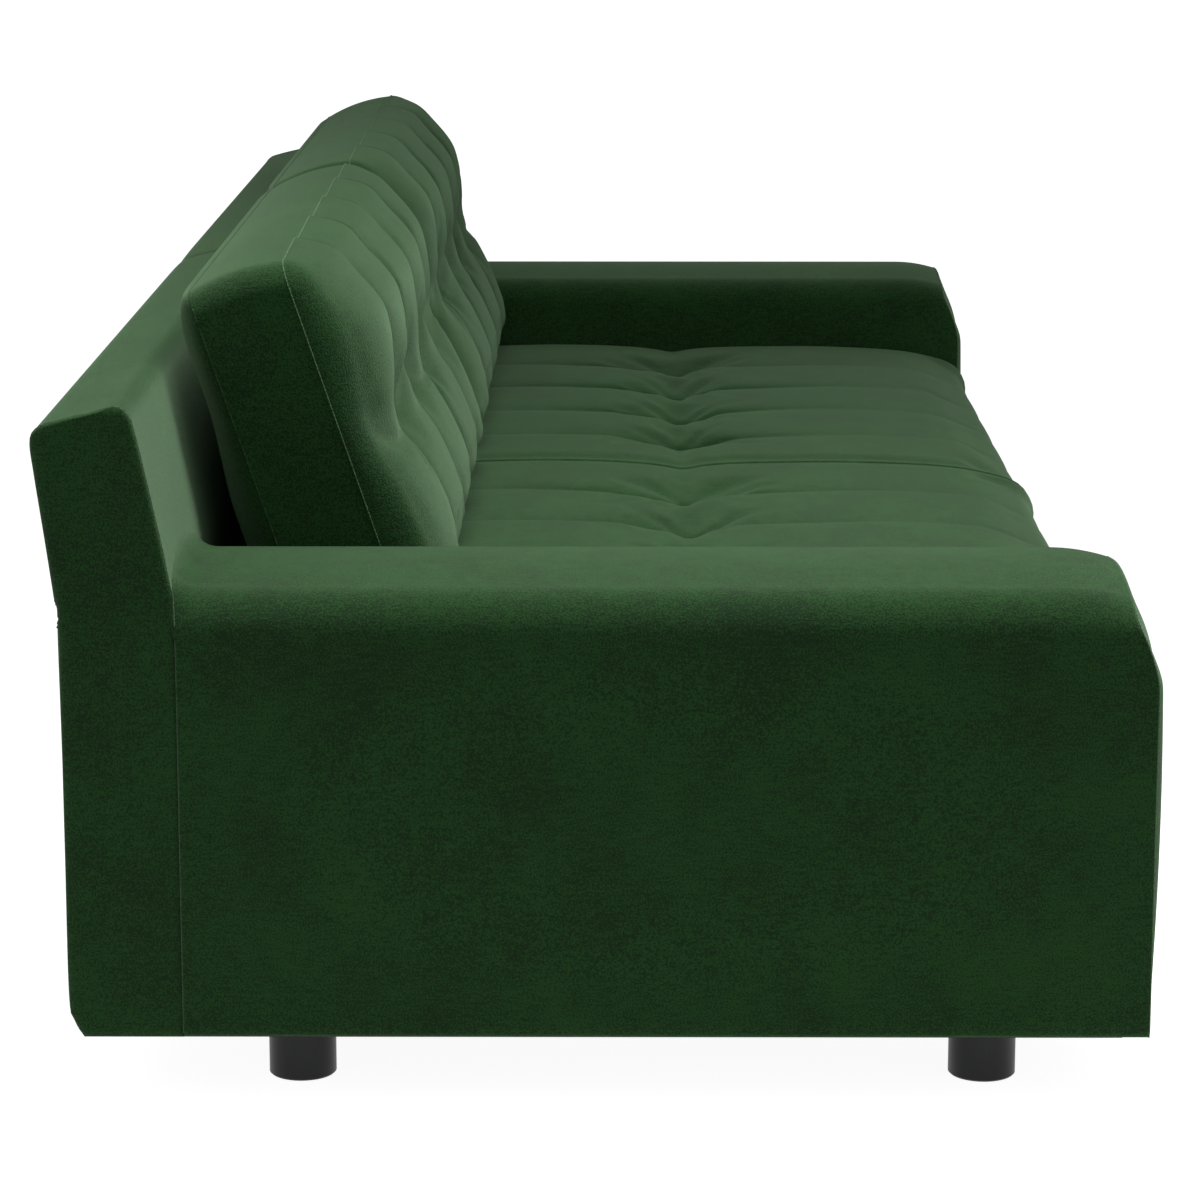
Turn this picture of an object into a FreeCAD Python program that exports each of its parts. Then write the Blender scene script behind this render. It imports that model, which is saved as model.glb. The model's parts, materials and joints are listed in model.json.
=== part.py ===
import FreeCAD, Part
import math
import os

import Sketcher

# Four-seat sofa, +X along its length, -Y to the front, +Z up, in millimetres.
# The origin is on the floor, at the centre of the footprint. Left is -X.

DIMENSIONS = {
    # whole sofa
    "sofa_length": 2380,
    "sofa_depth": 1000,
    "ground_gap": 66,
    "fabric": 2,
    "play": 0.3,
    # arms
    "arm_thickness": 250,
    "arm_height": 475,
    "arm_crown": 8,
    "arm_round": 52,
    "arm_front_bulge": 20,
    "arm_foam_outer": 10,
    "arm_foam_inner": 18,
    "arm_foam_top": 40,
    # back
    "back_thickness": 103,
    "back_overhang": 21,
    "back_knee_front": 468,
    "back_knee_rear": 449,
    "back_lean_front": 36,
    "back_lean_rear": 22,
    "back_top_front": 641,
    "back_top_rear": 621,
    "back_round": 20,
    "back_tuck": 13,
    "back_tuck_height": 40,
    "back_foam_front": 25,
    "outside_back_board": 5,
    "post_width": 40,
    "post_inset": 60,
    "post_top": 572,
    "top_rail_top": 600,
    "mid_rail_bottom": 330,
    "mid_rail_top": 390,
    "strap_width": 60,
    "strap_thickness": 1.5,
    "strap_pitch": 190,
    "strap_bottom": 150,
    # timber
    "board": 18,
    "panel": 12,
    "plank": 25,
    # seat base
    "deck_height": 223,
    "deck_pad": 12,
    "rail_bottom": 80,
    "rail_top": 200,
    "corner_block": 70,
    "border_setback": 12,
    "border_foam": 15,
    "spring_wire": 3.8,
    "spring_pitch": 37,
    "spring_run": 24,
    "spring_spacing": 234,
    # feet and fasteners
    "foot_radius": 31,
    "foot_inset": 100,
    "foot_front": -352,
    "foot_rear": 277,
    "glide_radius": 22,
    "glide_height": 4,
    "glide_proud": 2,
    "bolt_radius": 4,
    "bolt_hole": 4.3,
    "bolt_head": 7.5,
    "bolt_head_height": 5.5,
    "nut_height": 6.5,
    # cushions
    "cushion_gap": 2,
    "seat_tuft_y": -91,
    "seat_rear_y": 350,
    "seat_side_height": 362,
    "seat_crown": 386,
    "seat_tuft_height": 372,
    "seat_end_drop": 12,
    "back_cushion_top": 735,
    "back_cushion_top_y": 299,
    "back_cushion_bottom": 392,
    "back_cushion_lean": 18.6,
    "back_cushion_box": 92,
    "tuft_radius": 20,
    "tuft_depth": 5,
    "panels_per_cushion": 5,
    "back_tuft_proud": 35,
    "back_lobe_upper": 55,
    "back_lobe_lower": 51,
    "back_rear_bulge": 31,
    "back_rear_drop": 29,
    "core_margin": 45,
    "seat_core_height": 105,
    "back_core_thickness": 72,
    "back_core_height": 270,
}

doc = FreeCAD.newDocument("Sofa")
sheet = doc.addObject("Spreadsheet::Sheet", "Dims")
for row, (alias, value) in enumerate(DIMENSIONS.items(), start=1):
    sheet.set(f"A{row}", alias)
    sheet.set(f"B{row}", str(value))
    sheet.setAlias(f"B{row}", alias)
doc.recompute()

sub_parts = []


def size(alias):
    """The number in one cell of the sheet."""
    return float(sheet.get(alias))


def measure(expression):
    """The number that an expression of the sheet's cells gives now."""
    return float(sheet.evalExpression(str(expression)))


def sub_part(thing, label):
    """Keeps an object as one piece of the sofa, under the name of its file."""
    thing.Label = label
    sub_parts.append(thing)
    return thing


# Places that several pieces share, as expressions of the sheet's cells
HALF = "Dims.sofa_length / 2"
FRONT = "-Dims.sofa_depth / 2"
FLOOR_GAP = "Dims.ground_gap"
BACK_REAR = "(Dims.sofa_depth / 2 - Dims.back_overhang)"
BACK_FRONT = "(Dims.sofa_depth / 2 - Dims.back_overhang - Dims.back_thickness)"
ARM_FRONT = "(-Dims.sofa_depth / 2 + Dims.arm_front_bulge)"
ARM_REAR = f"({BACK_FRONT} - Dims.play)"
DECK_UNDER = "(Dims.deck_height - 16)"
BOARD_BOTTOM = "(Dims.ground_gap + 4)"
INNER_BOARD = "(Dims.arm_thickness - Dims.fabric - Dims.arm_foam_inner)"
OUTER_BOARD = "(Dims.fabric + Dims.arm_foam_outer)"
BOARD_TOP = "(Dims.arm_height - Dims.fabric - Dims.arm_foam_top)"
SEAT_HALF = f"({HALF} - {INNER_BOARD})"
BETWEEN_ARMS = f"({HALF} - Dims.arm_thickness)"
FRONT_RAIL_FACE = "(-Dims.sofa_depth / 2 + Dims.border_setback + Dims.fabric + Dims.border_foam + 1)"
BOLT_HEIGHT = "(Dims.rail_bottom + Dims.rail_top) / 2"
ARM_BOLT_PLACES = [-350, -50, 250]
REAR_BOLT_PLACES = [-800, -300, 300, 800]
ARM_REAR_BOLT_HEIGHTS = [110, 180]
SIDES = {"left": -1, "right": 1}

PLANE_OF_AXIS = {"x": "YZ_Plane", "y": "XZ_Plane", "z": "XY_Plane"}


def across(side, inward):
    """X of a place that lies `inward` from the outer face of the arm on that side."""
    return f"({side}) * ({HALF} - ({inward}))"


def pin_point(sketch, geometry, point, place):
    """Fixes one point of a sketch to two expressions, measured from the sketch's origin."""
    for kind, axis, expression in (("DistanceX", -2, place[0]), ("DistanceY", -1, place[1])):
        value = measure(expression)
        if abs(value) < 1e-9:
            sketch.addConstraint(Sketcher.Constraint("PointOnObject", geometry, point, axis))
            continue
        index = sketch.addConstraint(Sketcher.Constraint(kind, -1, 1, geometry, point, value))
        sketch.setExpression(f"Constraints[{index}]", str(expression))


def draw_loop(sketch, corners):
    """A closed loop of corners (a, b). After (a, b, radius, bulge) comes an arc, left of travel for 1."""
    points = [FreeCAD.Vector(measure(c[0]), measure(c[1]), 0) for c in corners]
    ids, starts, ends = [], [], []
    for i, corner in enumerate(corners):
        start, end = points[i], points[(i + 1) % len(points)]
        if len(corner) == 2:
            edge, bulge = Part.LineSegment(start, end), -1
        else:
            radius, bulge = measure(corner[2]), corner[3]
            chord = end - start
            rise = radius - math.sqrt(radius**2 - chord.Length**2 / 4)
            left = FreeCAD.Vector(-chord.y, chord.x, 0).normalize()
            edge = Part.Arc(start, (start + end) / 2 + left * rise * bulge, end)
        ids.append(sketch.addGeometry(edge, False))
        starts.append(2 if bulge > 0 else 1)
        ends.append(1 if bulge > 0 else 2)
    for i, corner in enumerate(corners):
        following = (i + 1) % len(corners)
        joint = Sketcher.Constraint("Coincident", ids[i], ends[i], ids[following], starts[following])
        sketch.addConstraint(joint)
        pin_point(sketch, ids[i], starts[i], corner)
        if len(corner) > 2:
            index = sketch.addConstraint(Sketcher.Constraint("Radius", ids[i], measure(corner[2])))
            sketch.setExpression(f"Constraints[{index}]", str(corner[2]))


def draw_hole(sketch, hole):
    """A round hole: (a, b, radius)."""
    centre = FreeCAD.Vector(measure(hole[0]), measure(hole[1]), 0)
    circle = Part.Circle(centre, FreeCAD.Vector(0, 0, 1), measure(hole[2]))
    index = sketch.addGeometry(circle, False)
    pin_point(sketch, index, 3, hole)
    radius = sketch.addConstraint(Sketcher.Constraint("Radius", index, measure(hole[2])))
    sketch.setExpression(f"Constraints[{radius}]", str(hole[2]))


def new_sketch(body, axis, level):
    """A sketch on the body's own plane square to an axis, moved to a level along that axis."""
    sketch = body.newObject("Sketcher::SketchObject", body.Name + "_outline")
    plane = next(f for f in body.Origin.OriginFeatures if f.Role == PLANE_OF_AXIS[axis])
    sketch.AttachmentSupport = [(plane, "")]
    sketch.MapMode = "FlatFace"
    towards = "-1" if axis == "y" else "1"
    sketch.setExpression("AttachmentOffset.Base.z", f"{towards} * ({level})")
    return sketch


def prism(label, axis, low, high, corners, holes=()):
    """A body of one section, drawn in the plane square to the axis and padded from low to high."""
    body = doc.addObject("PartDesign::Body", label)
    sketch = new_sketch(body, axis, high if axis == "y" else low)
    draw_loop(sketch, corners)
    for hole in holes:
        draw_hole(sketch, hole)
    pad = body.newObject("PartDesign::Pad", label + "_pad")
    pad.Profile = sketch
    pad.setExpression("Length", f"({high}) - ({low})")
    doc.recompute()
    return body


def plate(label, axis, low, high, first, second, holes=()):
    """A rectangular board, with any bolt holes through it."""
    (a0, a1), (b0, b1) = first, second
    return prism(label, axis, low, high, [(a0, b0), (a1, b0), (a1, b1), (a0, b1)], holes)


def round_off(body, radius, wanted):
    """Rounds the edges of a body that `wanted` picks, by a radius bound to the sheet."""
    tip = body.Tip
    names = [f"Edge{i}" for i, e in enumerate(tip.Shape.Edges, start=1) if wanted(e)]
    if not names:
        raise RuntimeError(f"{body.Label}: no edge to round")
    fillet = body.newObject("PartDesign::Fillet", body.Name + "_round")
    fillet.Base = (tip, names)
    fillet.setExpression("Radius", radius)
    doc.recompute()
    return body


def group(label, members):
    """Identical pieces, kept as one sub-part of separate solids."""
    compound = doc.addObject("Part::Compound", label)
    compound.Links = members
    doc.recompute()
    return sub_part(compound, label)


def runs_along(edge, direction):
    """True for a straight edge along that direction."""
    if not isinstance(edge.Curve, Part.Line):
        return False
    return abs(edge.Curve.Direction.dot(direction)) > 0.9999


ALONG_X = FreeCAD.Vector(1, 0, 0)
ALONG_Y = FreeCAD.Vector(0, 1, 0)


def crown_radius(width):
    """Radius of the shallow arc over a width that rises by the arm's crown."""
    return f"((({width}) / 2) ^ 2 + Dims.arm_crown ^ 2) / (2 * Dims.arm_crown)"


# Arms: a timber box on two feet, padded over the outside, top and inside, and closed by a padded front panel


def arm_section(side, skin, legs):
    """The arm's outline with its crowned top, `skin` inside its outer face, down to the two legs' heights."""
    outer, inner = across(side, skin), across(side, f"Dims.arm_thickness - ({skin})")
    top = f"Dims.arm_height - ({skin})"
    corners = [(outer, legs[0]), (outer, top), (inner, top), (inner, legs[1])]
    if side > 0:
        corners.reverse()
    corners[1] = (*corners[1], crown_radius(f"Dims.arm_thickness - 2 * ({skin})"), 1)
    return corners


def turned_back(corners):
    """The same open run of corners from its end to its start, so that it can close a loop."""
    run = [corner[:2] for corner in corners[::-1]]
    run[1] = (*run[1], corners[1][2], -1)
    return run


def top_corners(body, side, skin, radius):
    """Rounds the two long top edges of an arm piece that lie `skin` inside the arm's outline."""
    places = [measure(across(side, skin)), measure(across(side, f"Dims.arm_thickness - ({skin})"))]
    level = measure(f"Dims.arm_height - ({skin})")

    def wanted(edge):
        middle = edge.CenterOfGravity
        near = min(abs(middle.x - place) for place in places) < 0.01
        return runs_along(edge, ALONG_Y) and near and abs(middle.z - level) < 0.01

    return round_off(body, radius, wanted)


def make_arm(name, side):
    prefix = f"arm_{name}_"
    legs = (FLOOR_GAP, DECK_UNDER)

    lining = turned_back(arm_section(side, "Dims.fabric", legs))
    cover = prism(prefix + "cover", "y", ARM_FRONT, ARM_REAR, arm_section(side, "0", legs) + lining)
    top_corners(cover, side, "0", "Dims.arm_round")
    top_corners(cover, side, "Dims.fabric", "Dims.arm_round - Dims.fabric")
    sub_part(cover, prefix + "cover")

    skin = "Dims.fabric + Dims.play"
    legs = (f"{FLOOR_GAP} + 2", DECK_UNDER)
    hollow = [
        (across(side, INNER_BOARD), DECK_UNDER),
        (across(side, INNER_BOARD), BOARD_TOP),
        (across(side, OUTER_BOARD), BOARD_TOP),
        (across(side, OUTER_BOARD), f"{FLOOR_GAP} + 2"),
    ]
    if side > 0:
        hollow.reverse()
    loop = arm_section(side, skin, legs) + hollow
    foam = prism(prefix + "foam", "y", f"{ARM_FRONT} + Dims.play", f"{ARM_REAR} - Dims.play", loop)
    top_corners(foam, side, skin, f"Dims.arm_round - ({skin})")
    sub_part(foam, prefix + "foam")

    outline = arm_section(side, "0", (FLOOR_GAP, FLOOR_GAP))
    panel = prism(prefix + "front_panel", "y", FRONT, f"{ARM_FRONT} - Dims.play", outline)
    top_corners(panel, side, "0", "Dims.arm_round")
    face = measure(FRONT)
    round_off(panel, "Dims.arm_front_bulge - 2", lambda e: abs(e.BoundBox.YMax - face) < 0.01)
    sub_part(panel, prefix + "front_panel")

    make_arm_boards(prefix, side)


def make_arm_boards(prefix, side):
    front, rear = f"({ARM_FRONT} + 2)", ARM_REAR
    inside = (across(side, f"{OUTER_BOARD} + Dims.panel"), across(side, f"{INNER_BOARD} - Dims.board"))
    bolts = [(y, BOLT_HEIGHT, "Dims.bolt_hole") for y in ARM_BOLT_PLACES]

    def flank(label, first, second, holes):
        low, high = (first, second) if side > 0 else (second, first)
        board = plate(label, "x", low, high, (front, rear), (BOARD_BOTTOM, f"{BOARD_TOP} - Dims.board"), holes)
        sub_part(board, label)

    outer_inside = across(side, f"{OUTER_BOARD} + Dims.panel")
    flank(prefix + "outer_board", outer_inside, across(side, OUTER_BOARD), ())
    inner_inside = across(side, f"{INNER_BOARD} - Dims.board")
    flank(prefix + "inner_board", across(side, INNER_BOARD), inner_inside, bolts)

    whole = (across(side, OUTER_BOARD), across(side, INNER_BOARD))
    top = plate(prefix + "top_board", "z", f"{BOARD_TOP} - Dims.board", BOARD_TOP, whole, (front, rear))
    sub_part(top, prefix + "top_board")

    foot_x = f"({side}) * ({HALF} - Dims.foot_inset)"
    sockets = [(foot_x, y, "5.6") for y in ("Dims.foot_front", "Dims.foot_rear")]
    base_top = f"{BOARD_BOTTOM} + Dims.plank"
    base = plate(prefix + "base_board", "z", BOARD_BOTTOM, base_top, inside, (front, rear), sockets)
    sub_part(base, prefix + "base_board")

    heights = (base_top, f"{BOARD_TOP} - Dims.board")
    front_board = plate(prefix + "front_board", "y", front, f"{front} + Dims.board", inside, heights)
    sub_part(front_board, prefix + "front_board")
    middle = across(side, f"({OUTER_BOARD} + {INNER_BOARD}) / 2")
    rear_bolts = [(middle, z, "Dims.bolt_hole") for z in ARM_REAR_BOLT_HEIGHTS]
    rear_board = plate(prefix + "rear_board", "y", f"{rear} - Dims.plank", rear, inside, heights, rear_bolts)
    sub_part(rear_board, prefix + "rear_board")


for arm_name, arm_side in SIDES.items():
    make_arm(arm_name, arm_side)

# Back: leaning posts between a bottom and a top rail, webbed, padded in front, over the top and thinly behind

KNEE_F, KNEE_R = "Dims.back_knee_front", "Dims.back_knee_rear"
TOP_F, TOP_R = "Dims.back_top_front", "Dims.back_top_rear"
LEAN_F = f"{BACK_FRONT} + Dims.back_lean_front"
LEAN_R = f"{BACK_REAR} + Dims.back_lean_rear"
PANEL_FACE = f"({BACK_REAR} - Dims.outside_back_board)"
TUCK = "(Dims.ground_gap + Dims.back_tuck_height)"
FRAME_FRONT = f"({BACK_FRONT} + Dims.fabric + Dims.back_foam_front)"
POST_FRONT = f"({FRAME_FRONT} + Dims.fabric)"
SLOPE_F = "(Dims.back_lean_front / (Dims.back_top_front - Dims.back_knee_front))"
SLOPE_R = "(Dims.back_lean_rear / (Dims.back_top_rear - Dims.back_knee_rear))"
POST_TOP, RAIL_TOP = "Dims.post_top", "Dims.top_rail_top"


def lean_front(base, height):
    """Y at a height on a line that leans with the front of the back."""
    return f"{base} + {SLOPE_F} * (({height}) - {KNEE_F})"


def lean_rear(base, height):
    """Y at a height on a line that leans with the rear of the back."""
    return f"{base} + {SLOPE_R} * (({height}) - {KNEE_R})"


def top_edges(body, heights, radius):
    """Rounds the long edges along the top of the back that lie at those heights."""
    levels = [measure(h) for h in heights]

    def wanted(edge):
        return runs_along(edge, ALONG_X) and min(abs(edge.CenterOfGravity.z - z) for z in levels) < 0.01

    return round_off(body, radius, wanted)


def make_back_covers():
    skin, seam = "Dims.fabric", KNEE_R
    strip = [
        (BACK_FRONT, DECK_UNDER),
        (BACK_FRONT, KNEE_F),
        (LEAN_F, TOP_F),
        (LEAN_R, TOP_R),
        (f"{BACK_REAR} - 1", seam),
        (f"{BACK_REAR} - 1 - {skin}", seam),
        (f"{LEAN_R} - {skin}", f"{TOP_R} - {skin}"),
        (f"{LEAN_F} + {skin}", f"{TOP_F} - {skin}"),
        (f"{BACK_FRONT} + {skin}", KNEE_F),
        (f"{BACK_FRONT} + {skin}", DECK_UNDER),
    ]
    end = f"({HALF} - {skin} - Dims.play)"
    spans = {"back_cover_left": (f"-{end}", "-Dims.play"), "back_cover_right": ("Dims.play", end)}
    for label, span in spans.items():
        cover = prism(label, "x", *span, strip)
        top_edges(cover, (TOP_F, TOP_R), "Dims.back_round")
        top_edges(cover, (f"{TOP_F} - {skin}", f"{TOP_R} - {skin}"), f"Dims.back_round - {skin}")
        sub_part(cover, label)

    profile = [
        (BACK_FRONT, FLOOR_GAP),
        (BACK_FRONT, KNEE_F),
        (LEAN_F, TOP_F),
        (LEAN_R, TOP_R),
        (BACK_REAR, KNEE_R),
        (BACK_REAR, TUCK),
        (f"{BACK_REAR} - Dims.back_tuck", FLOOR_GAP),
    ]
    for name, side in SIDES.items():
        ends = (f"{HALF} - {skin}", HALF) if side > 0 else (f"-({HALF})", f"-({HALF}) + {skin}")
        panel = prism(f"back_end_panel_{name}", "x", *ends, profile)
        top_edges(panel, (TOP_F, TOP_R), "Dims.back_round")
        sub_part(panel, f"back_end_panel_{name}")

    inner_end = f"({HALF} - {skin} - Dims.play)"
    outside = [
        (BACK_REAR, KNEE_R),
        (BACK_REAR, TUCK),
        (f"{BACK_REAR} - Dims.back_tuck", FLOOR_GAP),
        (f"{PANEL_FACE} - Dims.back_tuck", FLOOR_GAP),
        (PANEL_FACE, TUCK),
        (PANEL_FACE, f"{KNEE_R} - Dims.play"),
    ]
    sub_part(prism("outside_back_panel", "x", f"-{inner_end}", inner_end, outside), "outside_back_panel")


def make_back_foam():
    skin = "(Dims.fabric + Dims.play)"
    rear_skin = f"({BACK_REAR} - 1 - Dims.fabric - Dims.play)"
    loop = [
        (f"{BACK_FRONT} + {skin}", DECK_UNDER),
        (f"{BACK_FRONT} + {skin}", KNEE_F),
        (f"{LEAN_F} + {skin}", f"{TOP_F} - {skin}"),
        (f"{LEAN_R} - {skin}", f"{TOP_R} - {skin}"),
        (rear_skin, f"{KNEE_R} + 2"),
        (f"{rear_skin} - 4", f"{KNEE_R} + 2"),
        (lean_rear(f"{rear_skin} - 4", f"{RAIL_TOP} - 10"), f"{RAIL_TOP} - 10"),
        (lean_front(FRAME_FRONT, RAIL_TOP), RAIL_TOP),
        (FRAME_FRONT, KNEE_F),
        (FRAME_FRONT, DECK_UNDER),
    ]
    end = f"({HALF} - Dims.fabric - 2 * Dims.play)"
    foam = prism("back_foam", "x", f"-{end}", end, loop)
    top_edges(foam, (f"{TOP_F} - {skin}", f"{TOP_R} - {skin}"), f"Dims.back_round - {skin}")
    sub_part(foam, "back_foam")


def make_back_frame():
    post_rear = f"({PANEL_FACE} - Dims.play)"
    upper_rear = f"({BACK_REAR} - 9)"
    post = [
        (POST_FRONT, "Dims.rail_bottom"),
        (POST_FRONT, KNEE_F),
        (lean_front(POST_FRONT, POST_TOP), POST_TOP),
        (lean_rear(upper_rear, f"{POST_TOP} - 10"), f"{POST_TOP} - 10"),
        (upper_rear, KNEE_R),
        (f"{post_rear} - 2", f"{KNEE_R} - 8"),
        (f"{post_rear} - 2", TUCK),
        (f"{post_rear} - Dims.back_tuck - 2", "Dims.rail_bottom"),
    ]
    half_post = "Dims.post_width / 2"
    end_post = f"({HALF} - Dims.post_inset)"
    for name, place in (("left", f"-{end_post}"), ("centre", "0"), ("right", end_post)):
        label = f"back_post_{name}"
        sub_part(prism(label, "x", f"{place} - {half_post}", f"{place} + {half_post}", post), label)

    end = f"({HALF} - Dims.fabric - 2)"
    under, over = f"{POST_TOP} + Dims.play", f"{RAIL_TOP} - 1"
    rail = [
        (lean_front(POST_FRONT, under), under),
        (lean_front(POST_FRONT, over), over),
        (lean_rear(upper_rear, f"{over} - 10"), f"{over} - 10"),
        (lean_rear(upper_rear, f"{under} - 10"), f"{under} - 10"),
    ]
    sub_part(prism("back_top_rail", "x", f"-{end}", end, rail), "back_top_rail")

    arm_middle = f"({HALF} - ({OUTER_BOARD} + {INNER_BOARD}) / 2)"
    holes = [(x, BOLT_HEIGHT, "Dims.bolt_hole") for x in REAR_BOLT_PLACES]
    for side in SIDES.values():
        holes += [(f"({side}) * {arm_middle}", z, "Dims.bolt_hole") for z in ARM_REAR_BOLT_HEIGHTS]
    heights = ("Dims.rail_bottom", f"{DECK_UNDER} - 1")
    rail_depth = (BACK_FRONT, FRAME_FRONT)
    bottom = plate("back_bottom_rail", "y", *rail_depth, (f"-{end}", end), heights, holes)
    sub_part(bottom, "back_bottom_rail")

    bays, heights = [], ("Dims.mid_rail_bottom", "Dims.mid_rail_top")
    for name, side in SIDES.items():
        near, far = f"({side}) * ({half_post})", f"({side}) * ({end_post} - {half_post})"
        low, high = (near, far) if side > 0 else (far, near)
        rear = f"({post_rear} - 2)"
        bays.append(plate(f"mid_rail_{name}", "x", low, high, (f"{rear} - Dims.plank", rear), heights))
    group("back_mid_rails", bays)

    strap_top = f"{RAIL_TOP} - 4"
    strap_low, thick = "Dims.strap_bottom", "Dims.strap_thickness"
    front = f"({FRAME_FRONT} + Dims.play)"
    strap = [
        (front, strap_low),
        (front, KNEE_F),
        (lean_front(front, strap_top), strap_top),
        (lean_front(f"{front} + {thick}", strap_top), strap_top),
        (f"{front} + {thick}", KNEE_F),
        (f"{front} + {thick}", strap_low),
    ]
    straps = []
    for count in (-5, -4, -3, -2, -1, 1, 2, 3, 4, 5):
        place = f"{count} * Dims.strap_pitch"
        edges = (f"{place} - Dims.strap_width / 2", f"{place} + Dims.strap_width / 2")
        straps.append(prism(f"strap_{count + 6}", "x", *edges, strap))
    group("back_webbing", straps)


make_back_covers()
make_back_foam()
make_back_frame()

# Seat base: rails bolted between the arms, zigzag springs across them, a deck pad and a padded front border


def make_seat_rails():
    heights = ("Dims.rail_bottom", "Dims.rail_top")
    width = (f"-{SEAT_HALF}", SEAT_HALF)
    front_rear = f"({FRONT_RAIL_FACE} + Dims.plank)"
    rear_front = f"({BACK_FRONT} - Dims.plank)"
    front = plate("front_rail", "y", FRONT_RAIL_FACE, front_rear, width, heights)
    sub_part(front, "front_rail")
    holes = [(x, BOLT_HEIGHT, "Dims.bolt_hole") for x in REAR_BOLT_PLACES]
    sub_part(plate("rear_rail", "y", rear_front, BACK_FRONT, width, heights, holes), "rear_rail")

    between = (front_rear, rear_front)
    bolts = [(y, BOLT_HEIGHT, "Dims.bolt_hole") for y in ARM_BOLT_PLACES]
    for name, side in SIDES.items():
        inner, outer = f"({side}) * ({SEAT_HALF} - Dims.plank)", f"({side}) * {SEAT_HALF}"
        low, high = (inner, outer) if side > 0 else (outer, inner)
        sub_part(plate(f"side_rail_{name}", "x", low, high, between, heights, bolts), f"side_rail_{name}")
    centre = plate("centre_rail", "x", "-15", "15", between, ("Dims.rail_bottom", "Dims.rail_top - 20"))
    sub_part(centre, "centre_rail")

    leg, blocks = "Dims.corner_block", []
    block_heights = ("Dims.rail_bottom + 10", "Dims.rail_top - 20")
    for side in SIDES.values():
        wall = f"({side}) * ({SEAT_HALF} - Dims.plank)"
        for corner, into in ((front_rear, 1), (rear_front, -1)):
            along_x, along_y = f"{wall} - ({side}) * {leg}", f"{corner} + ({into}) * {leg}"
            points = [(wall, corner), (along_x, corner), (wall, along_y)]
            blocks.append(prism(f"block_{len(blocks) + 1}", "z", *block_heights, points))
    group("corner_blocks", blocks)


def make_springs():
    """Each spring is one wire: straight runs along X, joined by half-round bends, from rail to rail."""
    pitch, half_run = size("spring_pitch"), size("spring_run") / 2
    radius = size("spring_wire") / 2
    first = measure(f"{FRONT_RAIL_FACE} + Dims.plank / 2")
    last = measure(f"{BACK_FRONT} - Dims.plank / 2")
    runs = round((last - first) / pitch)
    step = (last - first) / runs
    height = size("rail_top") + radius + 2
    wires, clips = [], []
    for count in (-3.5, -2.5, -1.5, -0.5, 0.5, 1.5, 2.5, 3.5):
        middle = count * size("spring_spacing")
        edges = []
        for i in range(runs + 1):
            towards = 1 if i % 2 == 0 else -1
            y = first + i * step
            start = FreeCAD.Vector(middle - towards * half_run, y, height)
            end = FreeCAD.Vector(middle + towards * half_run, y, height)
            edges.append(Part.LineSegment(start, end).toShape())
            if i < runs:
                bend = FreeCAD.Vector(end.x + towards * step / 2, y + step / 2, height)
                edges.append(Part.Arc(end, bend, end + FreeCAD.Vector(0, step, 0)).toShape())
        path = Part.Wire(edges)
        section = Part.Wire(Part.makeCircle(radius, edges[0].Vertexes[0].Point, ALONG_X))
        wire = path.makePipeShell([section], True, False)
        expected = math.pi * radius**2 * path.Length
        if abs(wire.Volume - expected) > 0.01 * expected:
            raise RuntimeError(f"spring volume {wire.Volume:.0f}, expected {expected:.0f}")
        wires.append(wire)
        for y in (first, last):
            clips.append(make_clip(f"clip_{len(clips) + 1}", middle, y, height))
    gap = step - 2 * radius
    print(f"springs: {len(wires)} wires, {runs} bends each, least gap between runs {gap:.1f} mm")
    feature = doc.addObject("Part::Feature", "seat_springs")
    feature.Shape = Part.makeCompound(wires)
    feature.Placement = FreeCAD.Placement()
    sub_part(feature, "seat_springs")
    group("spring_clips", clips)


def make_clip(label, x, y, height):
    """A bent steel clip on top of a rail, with the end run of a spring through it."""
    block = doc.addObject("Part::Box", label + "_block")
    block.Length, block.Width = 14, 16
    block.setExpression("Height", "Dims.spring_wire + 4")
    block.Placement.Base = FreeCAD.Vector(x - 7, y - 8, size("rail_top"))
    bore = doc.addObject("Part::Cylinder", label + "_bore")
    bore.setExpression("Radius", "Dims.spring_wire / 2 + 0.2")
    bore.Height = 20
    turn = FreeCAD.Rotation(FreeCAD.Vector(0, 1, 0), 90)
    bore.Placement = FreeCAD.Placement(FreeCAD.Vector(x - 10, y, height), turn)
    clip = doc.addObject("Part::Cut", label)
    clip.Base, clip.Tool = block, bore
    return clip


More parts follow.
